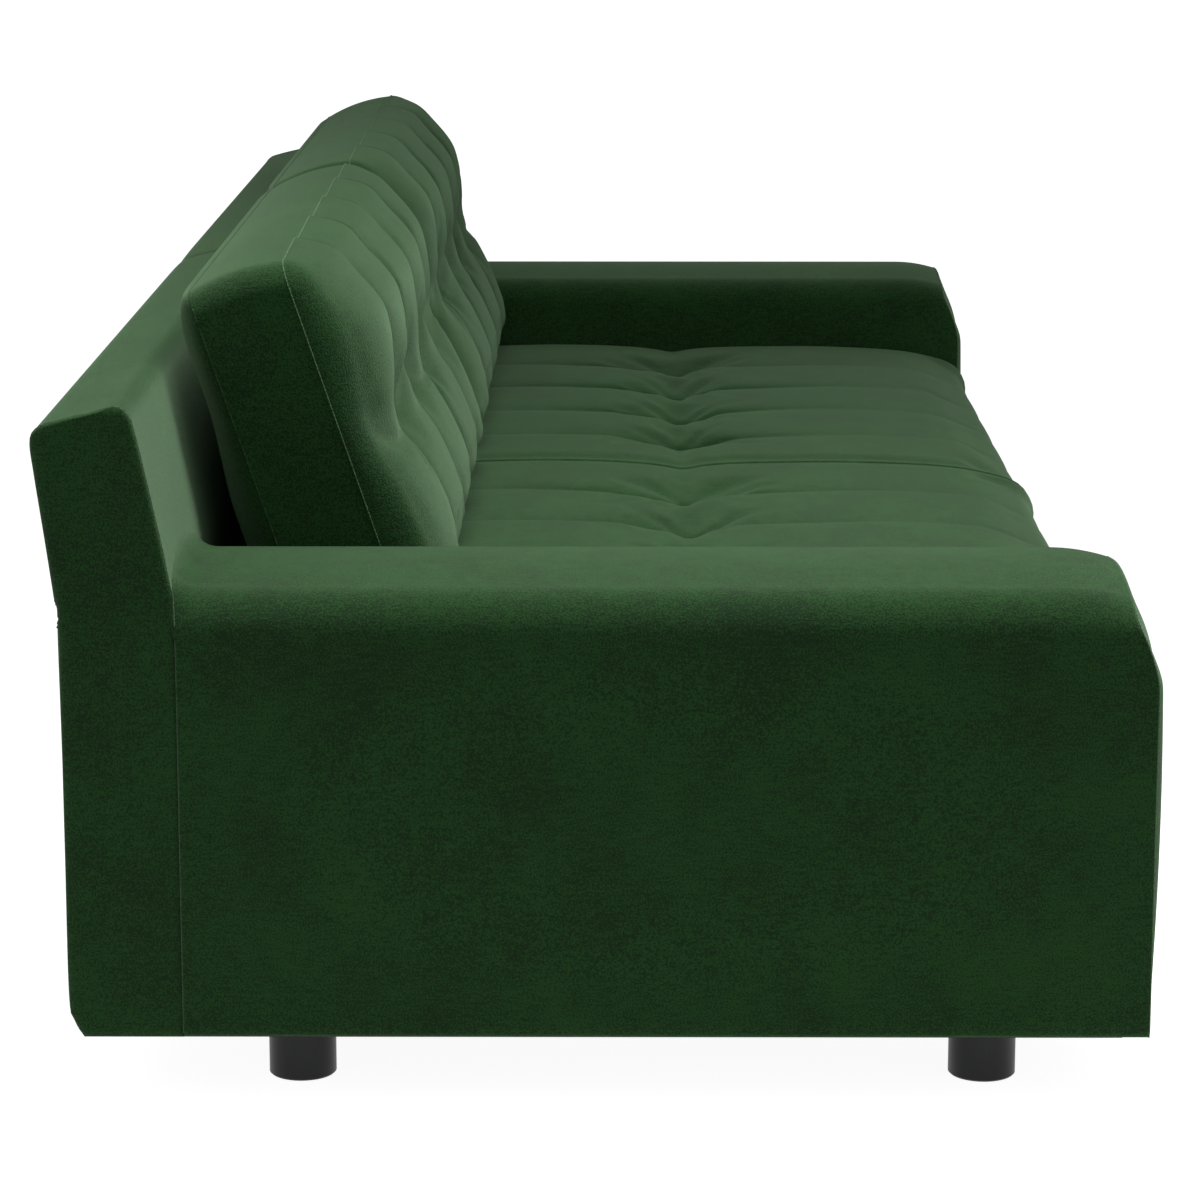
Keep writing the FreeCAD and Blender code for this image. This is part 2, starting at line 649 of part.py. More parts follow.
def make_deck():
    side = f"({BETWEEN_ARMS} - 2)"
    front = f"({FRONT_RAIL_FACE} + 0.5)"
    top = "(Dims.deck_height - 2)"
    low = f"({top} - Dims.deck_pad)"
    depth = (front, f"{BACK_FRONT} - 2")
    sub_part(plate("deck_pad", "z", low, top, (f"-{side}", side), depth), "deck_pad")

    face = f"({FRONT} + Dims.border_setback)"
    rear = f"({FRONT_RAIL_FACE} - 0.5)"
    lip = "Dims.deck_height"
    strip = [
        (face, FLOOR_GAP),
        (face, lip),
        (rear, lip),
        (rear, f"{lip} - Dims.fabric"),
        (f"{face} + Dims.fabric", f"{lip} - Dims.fabric"),
        (f"{face} + Dims.fabric", FLOOR_GAP),
    ]
    sub_part(prism("front_border_cover", "x", f"-{side}", side, strip), "front_border_cover")
    foam_depth = (f"{face} + Dims.fabric + Dims.play", rear)
    foam_height = (f"{FLOOR_GAP} + 1", f"{lip} - Dims.fabric - Dims.play")
    sub_part(plate("front_border_foam", "x", f"-{side}", side, foam_depth, foam_height), "front_border_foam")

    edge = f"({HALF} - 4)"
    holes = []
    for foot_side in SIDES.values():
        foot_x = f"({foot_side}) * ({HALF} - Dims.foot_inset)"
        holes += [(foot_x, y, "Dims.foot_radius + 1") for y in ("Dims.foot_front", "Dims.foot_rear")]
    depth = (f"{FRONT_RAIL_FACE} + 1", f"{BACK_REAR} - Dims.back_tuck - 8")
    low, high = f"{FLOOR_GAP} + 0.5", f"{FLOOR_GAP} + 1.5"
    sub_part(plate("dust_cover", "z", low, high, (f"-{edge}", edge), depth, holes), "dust_cover")


make_seat_rails()
make_springs()
make_deck()

# Feet: turned cylinders on screw-in studs, each with a glide let into its underside


def revolved(label, points, x, y):
    """A body turned about a vertical axis at (x, y), from an outline of (radius, height) corners."""
    body = doc.addObject("PartDesign::Body", label)
    sketch = new_sketch(body, "y", "0")
    draw_loop(sketch, points)
    turned = body.newObject("PartDesign::Revolution", label + "_turned")
    turned.Profile = sketch
    turned.ReferenceAxis = (sketch, ["V_Axis"])
    turned.Angle = 360
    body.setExpression("Placement.Base.x", x)
    body.setExpression("Placement.Base.y", y)
    doc.recompute()
    return body


def cylinder(label, radius, low, high, x, y):
    """An upright cylinder at (x, y) between two heights."""
    thing = doc.addObject("Part::Cylinder", label)
    thing.setExpression("Radius", radius)
    thing.setExpression("Height", f"({high}) - ({low})")
    thing.setExpression("Placement.Base.x", x)
    thing.setExpression("Placement.Base.y", y)
    thing.setExpression("Placement.Base.z", low)
    return thing


def make_feet():
    bevel, stud_low = "1.5", "30"
    low, top = "Dims.glide_proud", BOARD_BOTTOM
    radius, bore = "Dims.foot_radius", "Dims.bolt_radius + 0.1"
    recess = "Dims.glide_radius + 0.1"
    outline = [
        ("0", "Dims.glide_height"),
        (recess, "Dims.glide_height"),
        (recess, low),
        (f"{radius} - {bevel}", low),
        (radius, f"{low} + {bevel}"),
        (radius, f"{top} - {bevel}"),
        (f"{radius} - {bevel}", top),
        (bore, top),
        (bore, stud_low),
        ("0", stud_low),
    ]
    board_top = f"{BOARD_BOTTOM} + Dims.plank"
    nut = [
        (bore, f"{board_top} - 20"),
        ("5.5", f"{board_top} - 20"),
        ("5.5", board_top),
        ("12", board_top),
        ("12", f"{board_top} + 2"),
        (bore, f"{board_top} + 2"),
    ]
    glides, studs, nuts = [], [], []
    for name, side in SIDES.items():
        x = f"({side}) * ({HALF} - Dims.foot_inset)"
        for end in ("front", "rear"):
            y = f"Dims.foot_{end}"
            sub_part(revolved(f"foot_{end}_{name}", outline, x, y), f"foot_{end}_{name}")
            tag = f"{end}_{name}"
            glides.append(cylinder(f"glide_{tag}", "Dims.glide_radius", "0", "Dims.glide_height", x, y))
            stud_top = f"{board_top} + 5"
            studs.append(cylinder(f"stud_{tag}", "Dims.bolt_radius", f"{stud_low} + 0.2", stud_top, x, y))
            nuts.append(revolved(f"t_nut_{tag}", nut, x, y))
    group("foot_glides", glides)
    group("foot_studs", studs)
    group("foot_t_nuts", nuts)


def hexagon(label, height, place, turn):
    """A hexagonal prism that starts at a place and points along the turned Z axis."""
    thing = doc.addObject("Part::Prism", label)
    thing.Polygon = 6
    thing.setExpression("Circumradius", "Dims.bolt_head")
    thing.setExpression("Height", height)
    thing.Placement = FreeCAD.Placement(place, turn)
    return thing


def make_frame_bolts():
    """Hexagon bolts: along X through each arm and side rail, and along Y through the rear rails."""
    inner_face = measure(f"{SEAT_HALF} + Dims.board")
    nut_face_x = measure(f"{SEAT_HALF} - Dims.plank")
    bolt_z = measure(BOLT_HEIGHT)
    rear_head = measure(f"{BACK_FRONT} - Dims.plank")
    arm_head = measure(f"{ARM_REAR} - Dims.plank")
    nut_face_y = measure(FRAME_FRONT)
    arm_middle = measure(f"{HALF} - ({OUTER_BOARD} + {INNER_BOARD}) / 2")
    places = []
    for side in SIDES.values():
        for y in ARM_BOLT_PLACES:
            start = FreeCAD.Vector(side * inner_face, y, bolt_z)
            places.append((start, FreeCAD.Vector(-side, 0, 0), inner_face - nut_face_x))
        for z in ARM_REAR_BOLT_HEIGHTS:
            start = FreeCAD.Vector(side * arm_middle, arm_head, z)
            places.append((start, ALONG_Y, nut_face_y - arm_head))
    for x in REAR_BOLT_PLACES:
        places.append((FreeCAD.Vector(x, rear_head, bolt_z), ALONG_Y, nut_face_y - rear_head))

    bolts, nuts = [], []
    for count, (start, along, grip) in enumerate(places, start=1):
        turn = FreeCAD.Rotation(FreeCAD.Vector(0, 0, 1), along)
        head_start = start - along * size("bolt_head_height")
        head = hexagon(f"bolt_head_{count}", "Dims.bolt_head_height", head_start, turn)
        shank = doc.addObject("Part::Cylinder", f"shank_{count}")
        shank.setExpression("Radius", "Dims.bolt_radius")
        shank.setExpression("Height", f"{grip} + Dims.nut_height + 3")
        shank.Placement = FreeCAD.Placement(start, turn)
        bolt = doc.addObject("Part::Fuse", f"bolt_{count}")
        bolt.Base, bolt.Tool = head, shank
        bolts.append(bolt)
        blank = hexagon(f"nut_blank_{count}", "Dims.nut_height", start + along * grip, turn)
        bore = doc.addObject("Part::Cylinder", f"nut_bore_{count}")
        bore.setExpression("Radius", "Dims.bolt_radius + 0.1")
        bore.setExpression("Height", "Dims.nut_height + 4")
        bore.Placement = FreeCAD.Placement(start + along * (grip - 2), turn)
        nut = doc.addObject("Part::Cut", f"nut_{count}")
        nut.Base, nut.Tool = blank, bore
        nuts.append(nut)
    group("frame_bolts", bolts)
    group("frame_nuts", nuts)


make_feet()
make_frame_bolts()

# Cushions: sewn in five panels, with a tuft at the middle of each of the four channels between them

# How far each kind of section is from the fullest one: 0 on a panel's crown, 1 at the end seam
SLACK = {"panel": 0.0, "channel": 0.5, "edge": 0.3, "end": 1.0}
# How much of a back cushion's bulge is left in each kind of section
FULLNESS = {"panel": 1.0, "channel": 0.8, "edge": 0.88, "end": 0.08}
EDGE_SHARE = 0.03


def panel_stations():
    """Places along a cushion, as a share of its width, with the kind of section there."""
    panels = int(size("panels_per_cushion"))
    stations = [(0.0, "end"), (EDGE_SHARE, "edge")]
    for panel in range(panels):
        if panel:
            stations.append((panel / panels, "channel"))
        stations.append(((panel + 0.5) / panels, "panel"))
    return stations + [(1.0 - EDGE_SHARE, "edge"), (1.0, "end")]


def closed_section(x, corners, middles):
    """A closed wire square to X: a straight first side, then arcs from corner to corner through the middles."""
    points = [FreeCAD.Vector(x, *corner) for corner in corners]
    edges = [Part.LineSegment(points[0], points[1]).toShape()]
    for i, middle in enumerate(middles, start=1):
        end = points[(i + 1) % len(points)]
        edges.append(Part.Arc(points[i], FreeCAD.Vector(x, *middle), end).toShape())
    return Part.Wire(edges)


def seat_section(x, kind):
    """Front to rear section of a seat cushion: flat under, round in front, crowned either side of the tufts."""
    drop = SLACK[kind] * size("seat_end_drop")
    low, front, rear = size("deck_height") + 1, measure(FRONT) + 2, size("seat_rear_y")
    side_top = size("seat_side_height") - 0.4 * drop
    crown = size("seat_crown") - drop
    tuft_y, tuft = size("seat_tuft_y"), size("seat_tuft_height") - 0.8 * drop
    heel, rear_low = (front + 22, low), (rear, low)
    rear_top, shoulder = (rear - 4, side_top), (front + 48, side_top - 6)
    middles = [
        (rear + 4, (low + side_top) / 2),
        (tuft_y + 0.42 * (rear - tuft_y), crown),
        (tuft_y - 185, crown),
        (front, low + 62),
    ]
    return closed_section(x, [heel, rear_low, rear_top, (tuft_y, tuft), shoulder], middles)


def back_front(z):
    """Y of the leaning front seam of a back cushion at a height."""
    lean = math.tan(math.radians(size("back_cushion_lean")))
    return size("back_cushion_top_y") - lean * (size("back_cushion_top") - z)


def back_section(x, kind):
    """Section of a back cushion that leans on the back: two lobes in front, with the tufts between them."""
    full = FULLNESS[kind]
    top, bottom = size("back_cushion_top"), size("back_cushion_bottom")
    box = size("back_cushion_box") / math.cos(math.radians(size("back_cushion_lean")))
    rear_top, tuft_z = top - size("back_rear_drop"), (top + bottom) / 2
    front_low, rear_low = (back_front(bottom), bottom), (back_front(bottom) + box, bottom)
    rear_high, front_high = (back_front(rear_top) + box, rear_top), (back_front(top), top)
    tuft = (back_front(tuft_z) - size("back_tuft_proud") * full, tuft_z)
    bulge_z, upper_z, lower_z = top - 95, top - 82, bottom + 48
    middles = [
        (back_front(bulge_z) + box + size("back_rear_bulge") * full, bulge_z),
        ((front_high[0] + rear_high[0]) / 2 + 4, (top + rear_top) / 2 + 11 + 10 * full),
        (back_front(upper_z) - size("back_lobe_upper") * full, upper_z),
        (back_front(lower_z) - size("back_lobe_lower") * full, lower_z),
    ]
    return closed_section(x, [front_low, rear_low, rear_high, front_high, tuft], middles)


def seat_dimple():
    """The place (y, z) that a tuft on a seat cushion is drawn down to."""
    return size("seat_tuft_y"), size("seat_tuft_height") - 0.8 * SLACK["channel"] * size("seat_end_drop")


def back_dimple():
    """The place (y, z) that a tuft on a back cushion is drawn back to."""
    height = (size("back_cushion_top") + size("back_cushion_bottom")) / 2
    return back_front(height) - size("back_tuft_proud") * FULLNESS["channel"], height


def seat_core():
    """Size and place of the foam block in a seat cushion, for a cushion that starts at X = 0."""
    margin = size("core_margin")
    front, rear = measure(FRONT) + margin, size("seat_rear_y") - margin + 5
    place = FreeCAD.Vector(margin, front, size("deck_height") + 14)
    return (rear - front, size("seat_core_height")), FreeCAD.Placement(place, FreeCAD.Rotation())


def back_core():
    """Size and place of the leaning foam slab in a back cushion, for a cushion that starts at X = 0."""
    low = size("back_cushion_bottom") + 40
    place = FreeCAD.Vector(size("core_margin"), back_front(low) + 8, low)
    turn = FreeCAD.Rotation(ALONG_X, -size("back_cushion_lean"))
    return (size("back_core_thickness"), size("back_core_height")), FreeCAD.Placement(place, turn)


def make_cushion(label, side, section, core, dimple):
    """A sewn cover with its wrap, lofted over its panels and drawn in at the tufts, round a block of foam."""
    gap, play = size("cushion_gap"), size("play")
    width = measure(BETWEEN_ARMS) - 1.5 * gap
    start = gap / 2 if side > 0 else -gap / 2 - width
    wires = [section(start + share * width, kind) for share, kind in panel_stations()]
    form = Part.makeLoft(wires, True, False)
    outward = FreeCAD.Vector(0, 0, 1) if section is seat_section else FreeCAD.Vector(0, -1, 0.3)
    radius, depth = size("tuft_radius"), size("tuft_depth")
    for share, kind in panel_stations():
        if kind == "channel":
            tuft = FreeCAD.Vector(start + share * width, *dimple())
            form = form.cut(Part.makeSphere(radius, tuft + outward.normalize() * (radius - depth)))

    (deep, tall), place = core()
    place.Base += FreeCAD.Vector(start, 0, 0)
    long = width - 2 * size("core_margin")
    block = Part.makeBox(long, deep, tall)
    corner = FreeCAD.Vector(-play, -play, -play)
    cavity = Part.makeBox(long + 2 * play, deep + 2 * play, tall + 2 * play, corner)
    cavity.Placement = place
    cover = doc.addObject("Part::Feature", label + "_cover")
    cover.Shape = form.cut(cavity)
    cover.Placement = FreeCAD.Placement()
    sub_part(cover, label + "_cover")
    filling = doc.addObject("Part::Feature", label + "_core")
    filling.Shape = block
    filling.Placement = place
    sub_part(filling, label + "_core")


for cushion_name, cushion_side in SIDES.items():
    make_cushion(f"seat_cushion_{cushion_name}", cushion_side, seat_section, seat_core, seat_dimple)
    make_cushion(f"back_cushion_{cushion_name}", cushion_side, back_section, back_core, back_dimple)

# Checks, then one file for each piece
doc.recompute()
for thing in doc.Objects:
    if "Invalid" in thing.State or "Error" in thing.State:
        raise RuntimeError(f"{thing.Name} failed: {thing.State}")
os.makedirs("parts", exist_ok=True)
for piece in sub_parts:
    shape = piece.Shape
    if shape.isNull() or not shape.isValid() or not shape.Solids:
        raise RuntimeError(f"{piece.Label} has no valid solid")
    shape.exportStep(os.path.join("parts", piece.Label + ".step"))
print(f"{len(sub_parts)} sub-parts written")
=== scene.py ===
# %% [markdown]
# # A four-seat velvet sofa, dressed around its frame
# The frame comes first: timber, springs, feet and cushion solids, each already in its place. This
# lesson keeps that frame still and makes the soft things that people see and touch. Lengths on
# the sofa are in millimetres, as on a cutting list, and MM turns them into metres. The camera and
# the lamp are placed in metres.

# %% Load the frame
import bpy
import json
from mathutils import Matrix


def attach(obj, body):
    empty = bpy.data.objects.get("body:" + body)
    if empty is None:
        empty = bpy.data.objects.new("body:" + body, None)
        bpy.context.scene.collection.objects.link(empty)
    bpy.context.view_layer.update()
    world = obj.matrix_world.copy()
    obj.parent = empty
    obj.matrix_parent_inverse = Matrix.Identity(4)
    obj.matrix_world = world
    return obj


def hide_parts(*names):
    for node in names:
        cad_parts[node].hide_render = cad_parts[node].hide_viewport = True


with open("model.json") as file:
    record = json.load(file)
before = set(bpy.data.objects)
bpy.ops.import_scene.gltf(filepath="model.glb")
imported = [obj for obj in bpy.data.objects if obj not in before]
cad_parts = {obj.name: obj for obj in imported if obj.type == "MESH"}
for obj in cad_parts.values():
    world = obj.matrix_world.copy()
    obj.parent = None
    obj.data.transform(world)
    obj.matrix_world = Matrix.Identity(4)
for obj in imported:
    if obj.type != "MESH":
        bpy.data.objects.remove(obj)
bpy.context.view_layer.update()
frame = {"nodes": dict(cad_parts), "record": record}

import json
import math
import bmesh
import bpy
import numpy as np
from mathutils import Vector
from mathutils.kdtree import KDTree

MM = 0.001
SIDES = {-1: "left", 1: "right"}


def new_object(name, data):
    """An object in the scene."""
    made = bpy.data.objects.new(name, data)
    bpy.context.scene.collection.objects.link(made)
    return made


# %% [markdown]
# ## The view
# The sofa is seen from its left end, a little above it. A long lens far away keeps the near arm
# from looking too large. A camera can be aimed at an empty with a constraint, but here two angles
# are enough. It tilts down and uses no shift, so it also serves for views from other sides.

# %% Camera
CAMERA_PLACE = (-4.598, -0.0144, 1.196)
CAMERA_TURN = math.radians(0.2616)
CAMERA_TILT = math.radians(12.025)
SENSOR_WIDTH = 36.0
LENS = 118.96
FARTHEST = 200.0

camera = new_object("camera", bpy.data.cameras.new("camera"))
camera.data.sensor_width = SENSOR_WIDTH
camera.data.lens = LENS
camera.data.clip_end = FARTHEST
camera.location = CAMERA_PLACE
gaze = Vector((math.cos(CAMERA_TILT) * math.cos(CAMERA_TURN),
               math.cos(CAMERA_TILT) * math.sin(CAMERA_TURN), -math.sin(CAMERA_TILT)))
camera.rotation_euler = gaze.to_track_quat("-Z", "Y").to_euler()
bpy.context.scene.camera = camera
bpy.context.scene.view_settings.view_transform = "Standard"
print("camera at", CAMERA_PLACE, "lens", camera.data.lens)

# %% [markdown]
# ## Small helpers for materials
# A material is a tree of nodes. One function adds a node and fills its sockets: a socket given
# another node's output is linked, any other value is set. Colours are written as they look on a
# screen and turned into the linear light that a renderer adds up.

# %% Material helpers
def linear(code):
    """A screen colour such as 2f4a2b as linear red, green, blue and a full alpha."""
    parts = [int(code[i:i + 2], 16) / 255 for i in (0, 2, 4)]
    return [c / 12.92 if c <= 0.04045 else ((c + 0.055) / 1.055) ** 2.4 for c in parts] + [1.0]


def fill(tree, node, sockets):
    """Link each socket to the output given for it, or set it to the value given."""
    for name, value in sockets.items():
        if isinstance(value, bpy.types.NodeSocket):
            tree.links.new(value, node.inputs[name])
        else:
            node.inputs[name].default_value = value


def add(tree, kind, settings, sockets):
    """Add one node to a tree, with its settings, and fill its sockets."""
    node = tree.nodes.new(kind)
    for name, value in settings.items():
        setattr(node, name, value)
    fill(tree, node, sockets)
    return node


def new_material(name):
    """An empty material with its shader and the place of each surface point."""
    material = bpy.data.materials.new(name)
    material.use_nodes = True
    tree = material.node_tree
    shader = tree.nodes["Principled BSDF"]
    place = add(tree, "ShaderNodeTexCoord", {}, {}).outputs["Object"]
    return material, tree, shader, place


def calculate(tree, operation, *values):
    """The result of one sum with numbers or other nodes' outputs."""
    return add(tree, "ShaderNodeMath", {"operation": operation}, dict(enumerate(values))).outputs["Value"]


def noise(tree, vector, scale, detail, roughness=0.5):
    """A cloudy pattern between 0 and 1."""
    return add(tree, "ShaderNodeTexNoise", {}, {
        "Vector": vector, "Scale": scale, "Detail": detail, "Roughness": roughness}).outputs["Fac"]


def per_metre(size_mm):
    """The scale that gives a noise features of this size."""
    return 1000.0 / size_mm


def two_tones(tree, factor, low, high, start=0.35, end=0.65):
    """A ramp from one screen colour to another."""
    ramp = add(tree, "ShaderNodeValToRGB", {}, {"Fac": factor})
    for stop, position, code in zip(ramp.color_ramp.elements, (start, end), (low, high)):
        stop.position = position
        stop.color = linear(code)
    return ramp.outputs["Color"]


print("a mid green in linear light:", [round(part, 3) for part in linear("2f4a2b")])

# %% [markdown]
# ## Velvet
# The cover is a cotton velvet: a dense pile about 2 mm tall that stands up from the weave. Seen
# straight on it is almost black-green. Seen along the surface, the fibre tips catch the light and
# it turns pale. Hair could stand for the pile, but it would take millions of strands. The shader's
# sheen gives the same change, so the colour stays dark and the sheen brings up the tops and rolls.
# Three noises do the rest: the pile's grain, rows left by the loom, and patches brushed one way.

# %% Velvet
# real pile is finer than a pixel of the picture, so its grain is drawn coarser to show at all
PILE_GRAIN = 1.6
PILE_BUMP, PILE_DEPTH = 0.9, 0.8
# the loom's rows are long and close together up the cloth, also coarser than real ones
LOOM_ROW = (18.0, 18.0, 2.6)
# a hand or a cushion leaves patches about this wide
BRUSHED_PATCH = 105.0
# shares of rows and patches next to the grain's own 1, and one over the sum of all three
ROWS_SHARE, PATCH_SHARE, TO_MEAN = 0.3, 0.4, 0.588
TONE_START, TONE_END = 0.455, 0.545


def make_velvet(name, deep, pale, sheen):
    material, tree, shader, place = new_material(name)
    grain = noise(tree, place, per_metre(PILE_GRAIN), 1.5)
    rows_place = add(tree, "ShaderNodeMapping", {}, {
        "Vector": place, "Scale": [per_metre(size) for size in LOOM_ROW]})
    rows = noise(tree, rows_place.outputs["Vector"], 1.0, 2.0)
    patches = noise(tree, place, per_metre(BRUSHED_PATCH), 4.0, 0.65)
    weave = calculate(tree, "MULTIPLY_ADD", rows, ROWS_SHARE, grain)
    tone = calculate(tree, "MULTIPLY_ADD", patches, PATCH_SHARE, weave)
    tone = calculate(tree, "MULTIPLY", tone, TO_MEAN)
    colour = two_tones(tree, tone, deep, pale, TONE_START, TONE_END)
    bump = add(tree, "ShaderNodeBump", {}, {
        "Height": weave, "Strength": PILE_BUMP, "Distance": PILE_DEPTH * MM})
    fill(tree, shader, {
        "Base Color": colour, "Normal": bump.outputs["Normal"], "Roughness": 0.92,
        "Specular IOR Level": 0.04, "Sheen Weight": sheen, "Sheen Roughness": 0.62,
        "Sheen Tint": linear("d5ffd0")})
    return material


# dark green faces that turn pale along every roll and crown
velvet = make_velvet("cotton_velvet_green", "022602", "1c4c19", 0.44)
# the same cloth on edge, with a painted highlight: a paler base colour, so that a seam reads as a fine light
# line
seam_velvet_painted_highlight = make_velvet("velvet_seam_painted_highlight", "486844", "668660", 0.44)
print("velvet:", len(velvet.node_tree.nodes), "nodes, pile grain", PILE_GRAIN, "mm")

# %% [markdown]
# ## Other materials
# The feet are turned wood under satin black lacquer, with a moulded plastic glide below. Inside
# there is beech, zinc-plated steel, bonded foam, grey felt, rubberised webbing and a black
# non-woven dust cloth. They show only from below or with a cushion lifted out. Pictures could be
# wrapped round them, but one noise each gives a grain that needs no picture and never repeats.

# %% Other materials
GRAIN_DEPTH = 0.3
ROUGHNESS_PLAY = 0.06


def make_plain(name, low, high, grain_mm, roughness, metallic=0.0, bump=0.3, stretch=(1, 1, 1),
               gloss=0.5):
    """A finish with one noise for its colour, roughness and bump."""
    material, tree, shader, place = new_material(name)
    scaled = add(tree, "ShaderNodeMapping", {}, {
        "Vector": place, "Scale": [per_metre(grain_mm) / s for s in stretch]})
    grain = noise(tree, scaled.outputs["Vector"], 1.0, 4.0)
    height = add(tree, "ShaderNodeBump", {}, {
        "Height": grain, "Strength": bump, "Distance": GRAIN_DEPTH * MM})
    rough = add(tree, "ShaderNodeMapRange", {}, {
        "Value": grain, "To Min": roughness - ROUGHNESS_PLAY, "To Max": roughness + ROUGHNESS_PLAY})
    fill(tree, shader, {
        "Base Color": two_tones(tree, grain, low, high), "Roughness": rough.outputs["Result"],
        "Normal": height.outputs["Normal"], "Metallic": metallic, "Specular IOR Level": gloss})
    return material


slot_finish = {
    "velvet": velvet,
    # a dull straw yellow, rough with open cells
    "foam": make_plain("bonded_foam", "d8c98f", "e6dbaa", 4.0, 0.9, bump=0.6),
    # a matt, fibrous grey, seen where a cushion is lifted out
    "felt": make_plain("grey_needle_felt", "4a4c4a", "646762", 3.0, 0.95, bump=0.7),
    # dull brown bands with a coarse surface
    "webbing": make_plain("rubber_webbing", "7b6a4e", "94835f", 3.0, 0.85, bump=0.6),
    # a matt black that lets the underside fall back into the shadow
    "dust_cloth": make_plain("black_nonwoven_cloth", "141414", "222222", 2.5, 0.95, bump=0.5),
    # a warm, pale wood with long grain
    "timber": make_plain("beech_rails", "b08a5c", "c9a878", 5.0, 0.6, stretch=(14, 14, 3)),
    # nearly black, with one soft highlight down each foot
    "foot_black": make_plain("satin_black_lacquer", "161717", "1d1e1e", 5.0, 0.42, bump=0.06,
                             stretch=(1, 1, 9), gloss=0.28),
    # a greyer black than the lacquer, so that the glide reads as a piece of its own
    "glide": make_plain("moulded_black_nylon", "1c1c1c", "262626", 1.5, 0.5, bump=0.15),
    # a cool grey metal with blurred reflections
    "steel": make_plain("zinc_plated_steel", "8d9093", "a6a9ac", 6.0, 0.38, metallic=1.0, bump=0.1),
}
print("finishes:", ", ".join(sorted(slot_finish)))

# %% [markdown]
# ## Small helpers for shapes
# Soft covers are made here from grids: rows of points laid over a form, as a paper pattern is laid
# over a toile. Grids are sewn together by merging the points along their shared edges, and a cover
# that is only a skin gets a thickness. A cover could be sculpted by hand, but a grid comes out the
# same each time and one number can correct it.

# %% Shape helpers
STEPS_PER_KNOT = 24
MERGE = 0.02


def smooth_path(points, count):
    """A soft line through the given points, cut into equal steps."""
    knots = np.array(points, float)
    ends = np.vstack([2 * knots[0] - knots[1], knots, 2 * knots[-1] - knots[-2]])
    steps = np.linspace(0, 1, STEPS_PER_KNOT, endpoint=False)[:, None]
    pieces = []
    for a, b, c, d in zip(ends, ends[1:], ends[2:], ends[3:]):
        pieces.append(0.5 * (2 * b + (c - a) * steps + (2 * a - 5 * b + 4 * c - d) * steps ** 2
                             + (3 * b - a - 3 * c + d) * steps ** 3))
    line = np.vstack(pieces + [knots[-1:]])
    return resample(line, np.linspace(0, 1, count))


def run_along(line):
    """How far along a polyline each of its points lies."""
    return np.concatenate([[0], np.cumsum(np.linalg.norm(np.diff(line, axis=0), axis=1))])


def resample(line, shares):
    """Points of a polyline at the given shares of its length."""
    run = run_along(line)
    return np.stack([np.interp(shares * run[-1], run, column) for column in line.T], axis=-1)


def outward(line):
    """The unit normal to the left of a polyline in a plane."""
    along = np.gradient(line, axis=0)
    normal = np.stack([-along[:, 1], along[:, 0]], axis=-1)
    return normal / np.maximum(np.linalg.norm(normal, axis=1, keepdims=True), 1e-9)


def soft_step(value):
    """0 below 0, 1 above 1, and a smooth rise between."""
    t = np.clip(value, 0, 1)
    return t * t * (3 - 2 * t)


def crowded_ends(count):
    """Shares from 0 to 1 that lie closer together at both ends."""
    return 0.5 - 0.5 * np.cos(np.linspace(0, math.pi, count))


def quarter_round(distance, radius):
    """0 at an edge and 1 from radius inwards, rising as a quarter of a circle does."""
    return np.sqrt(1 - (1 - np.clip(distance / radius, 0, 1)) ** 2)


def smooth(mesh):
    mesh.polygons.foreach_set("use_smooth", [True] * len(mesh.polygons))


def sew(name, grids, material):
    """One smooth mesh from grids of points in millimetres, merged where their edges meet."""
    points, faces, first = [], [], 0
    for grid in grids:
        rows, columns = grid.shape[:2]
        index = first + np.arange(rows * columns).reshape(rows, columns)
        corners = [index[:-1, :-1], index[1:, :-1], index[1:, 1:], index[:-1, 1:]]
        faces.append(np.stack(corners, -1).reshape(-1, 4))
        points.append(grid.reshape(-1, 3) * MM)
        first += rows * columns
    mesh = bpy.data.meshes.new(name)
    mesh.from_pydata(np.vstack(points).tolist(), [], np.vstack(faces).tolist())
    shape = bmesh.new()
    shape.from_mesh(mesh)
    bmesh.ops.remove_doubles(shape, verts=shape.verts, dist=MERGE * MM)
    bmesh.ops.recalc_face_normals(shape, faces=shape.faces)
    shape.to_mesh(mesh)
    shape.free()
    smooth(mesh)
    mesh.materials.append(material)
    return new_object(name, mesh)


def plain_mesh(piece):
    """The piece's mesh with its modifiers applied."""
    bpy.context.view_layer.update()
    finished = piece.evaluated_get(bpy.context.evaluated_depsgraph_get())
    return bpy.data.meshes.new_from_object(finished)


def apply_modifiers(piece):
    """Keep what the modifiers made as the piece's own mesh."""
    solid = plain_mesh(piece)
    piece.modifiers.clear()
    piece.data = solid


def thicken(piece, toward, thick):
    """Give an open cover a thickness on the side away from the given outward direction."""
    facing = sum((Vector(p.normal) * p.area for p in piece.data.polygons), Vector())
    if facing.dot(Vector(toward)) < 0:
        piece.data.flip_normals()
    wall = piece.modifiers.new("thickness", "SOLIDIFY")
    wall.thickness, wall.offset = thick * MM, -1.0
    apply_modifiers(piece)
    return piece


def dress(piece, body, slot, *nodes):
    """Let a piece ride on its body and stand for the solids under it. The slot is not used."""
    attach(piece, body)
    if nodes:
        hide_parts(*nodes)
    return piece


def tight_cover(name, grids, toward, thick, nodes, slot="velvet"):
    """A cover fixed to the frame, in place of the solids under it."""
    piece = thicken(sew(name, grids, slot_finish[slot]), toward, thick)
    dress(piece, "frame", slot, *nodes)
    print(name, len(piece.data.polygons), "faces")


def loose_cushion(piece):
    """A cushion on the body of its own name, in place of that body's cover and core."""
    body = piece.name
    dress(piece, body, "velvet", body + "_cover", body + "_core")
    print(body, len(piece.data.polygons), "faces")


print("five places that crowd at both ends:", crowded_ends(5).round(2))

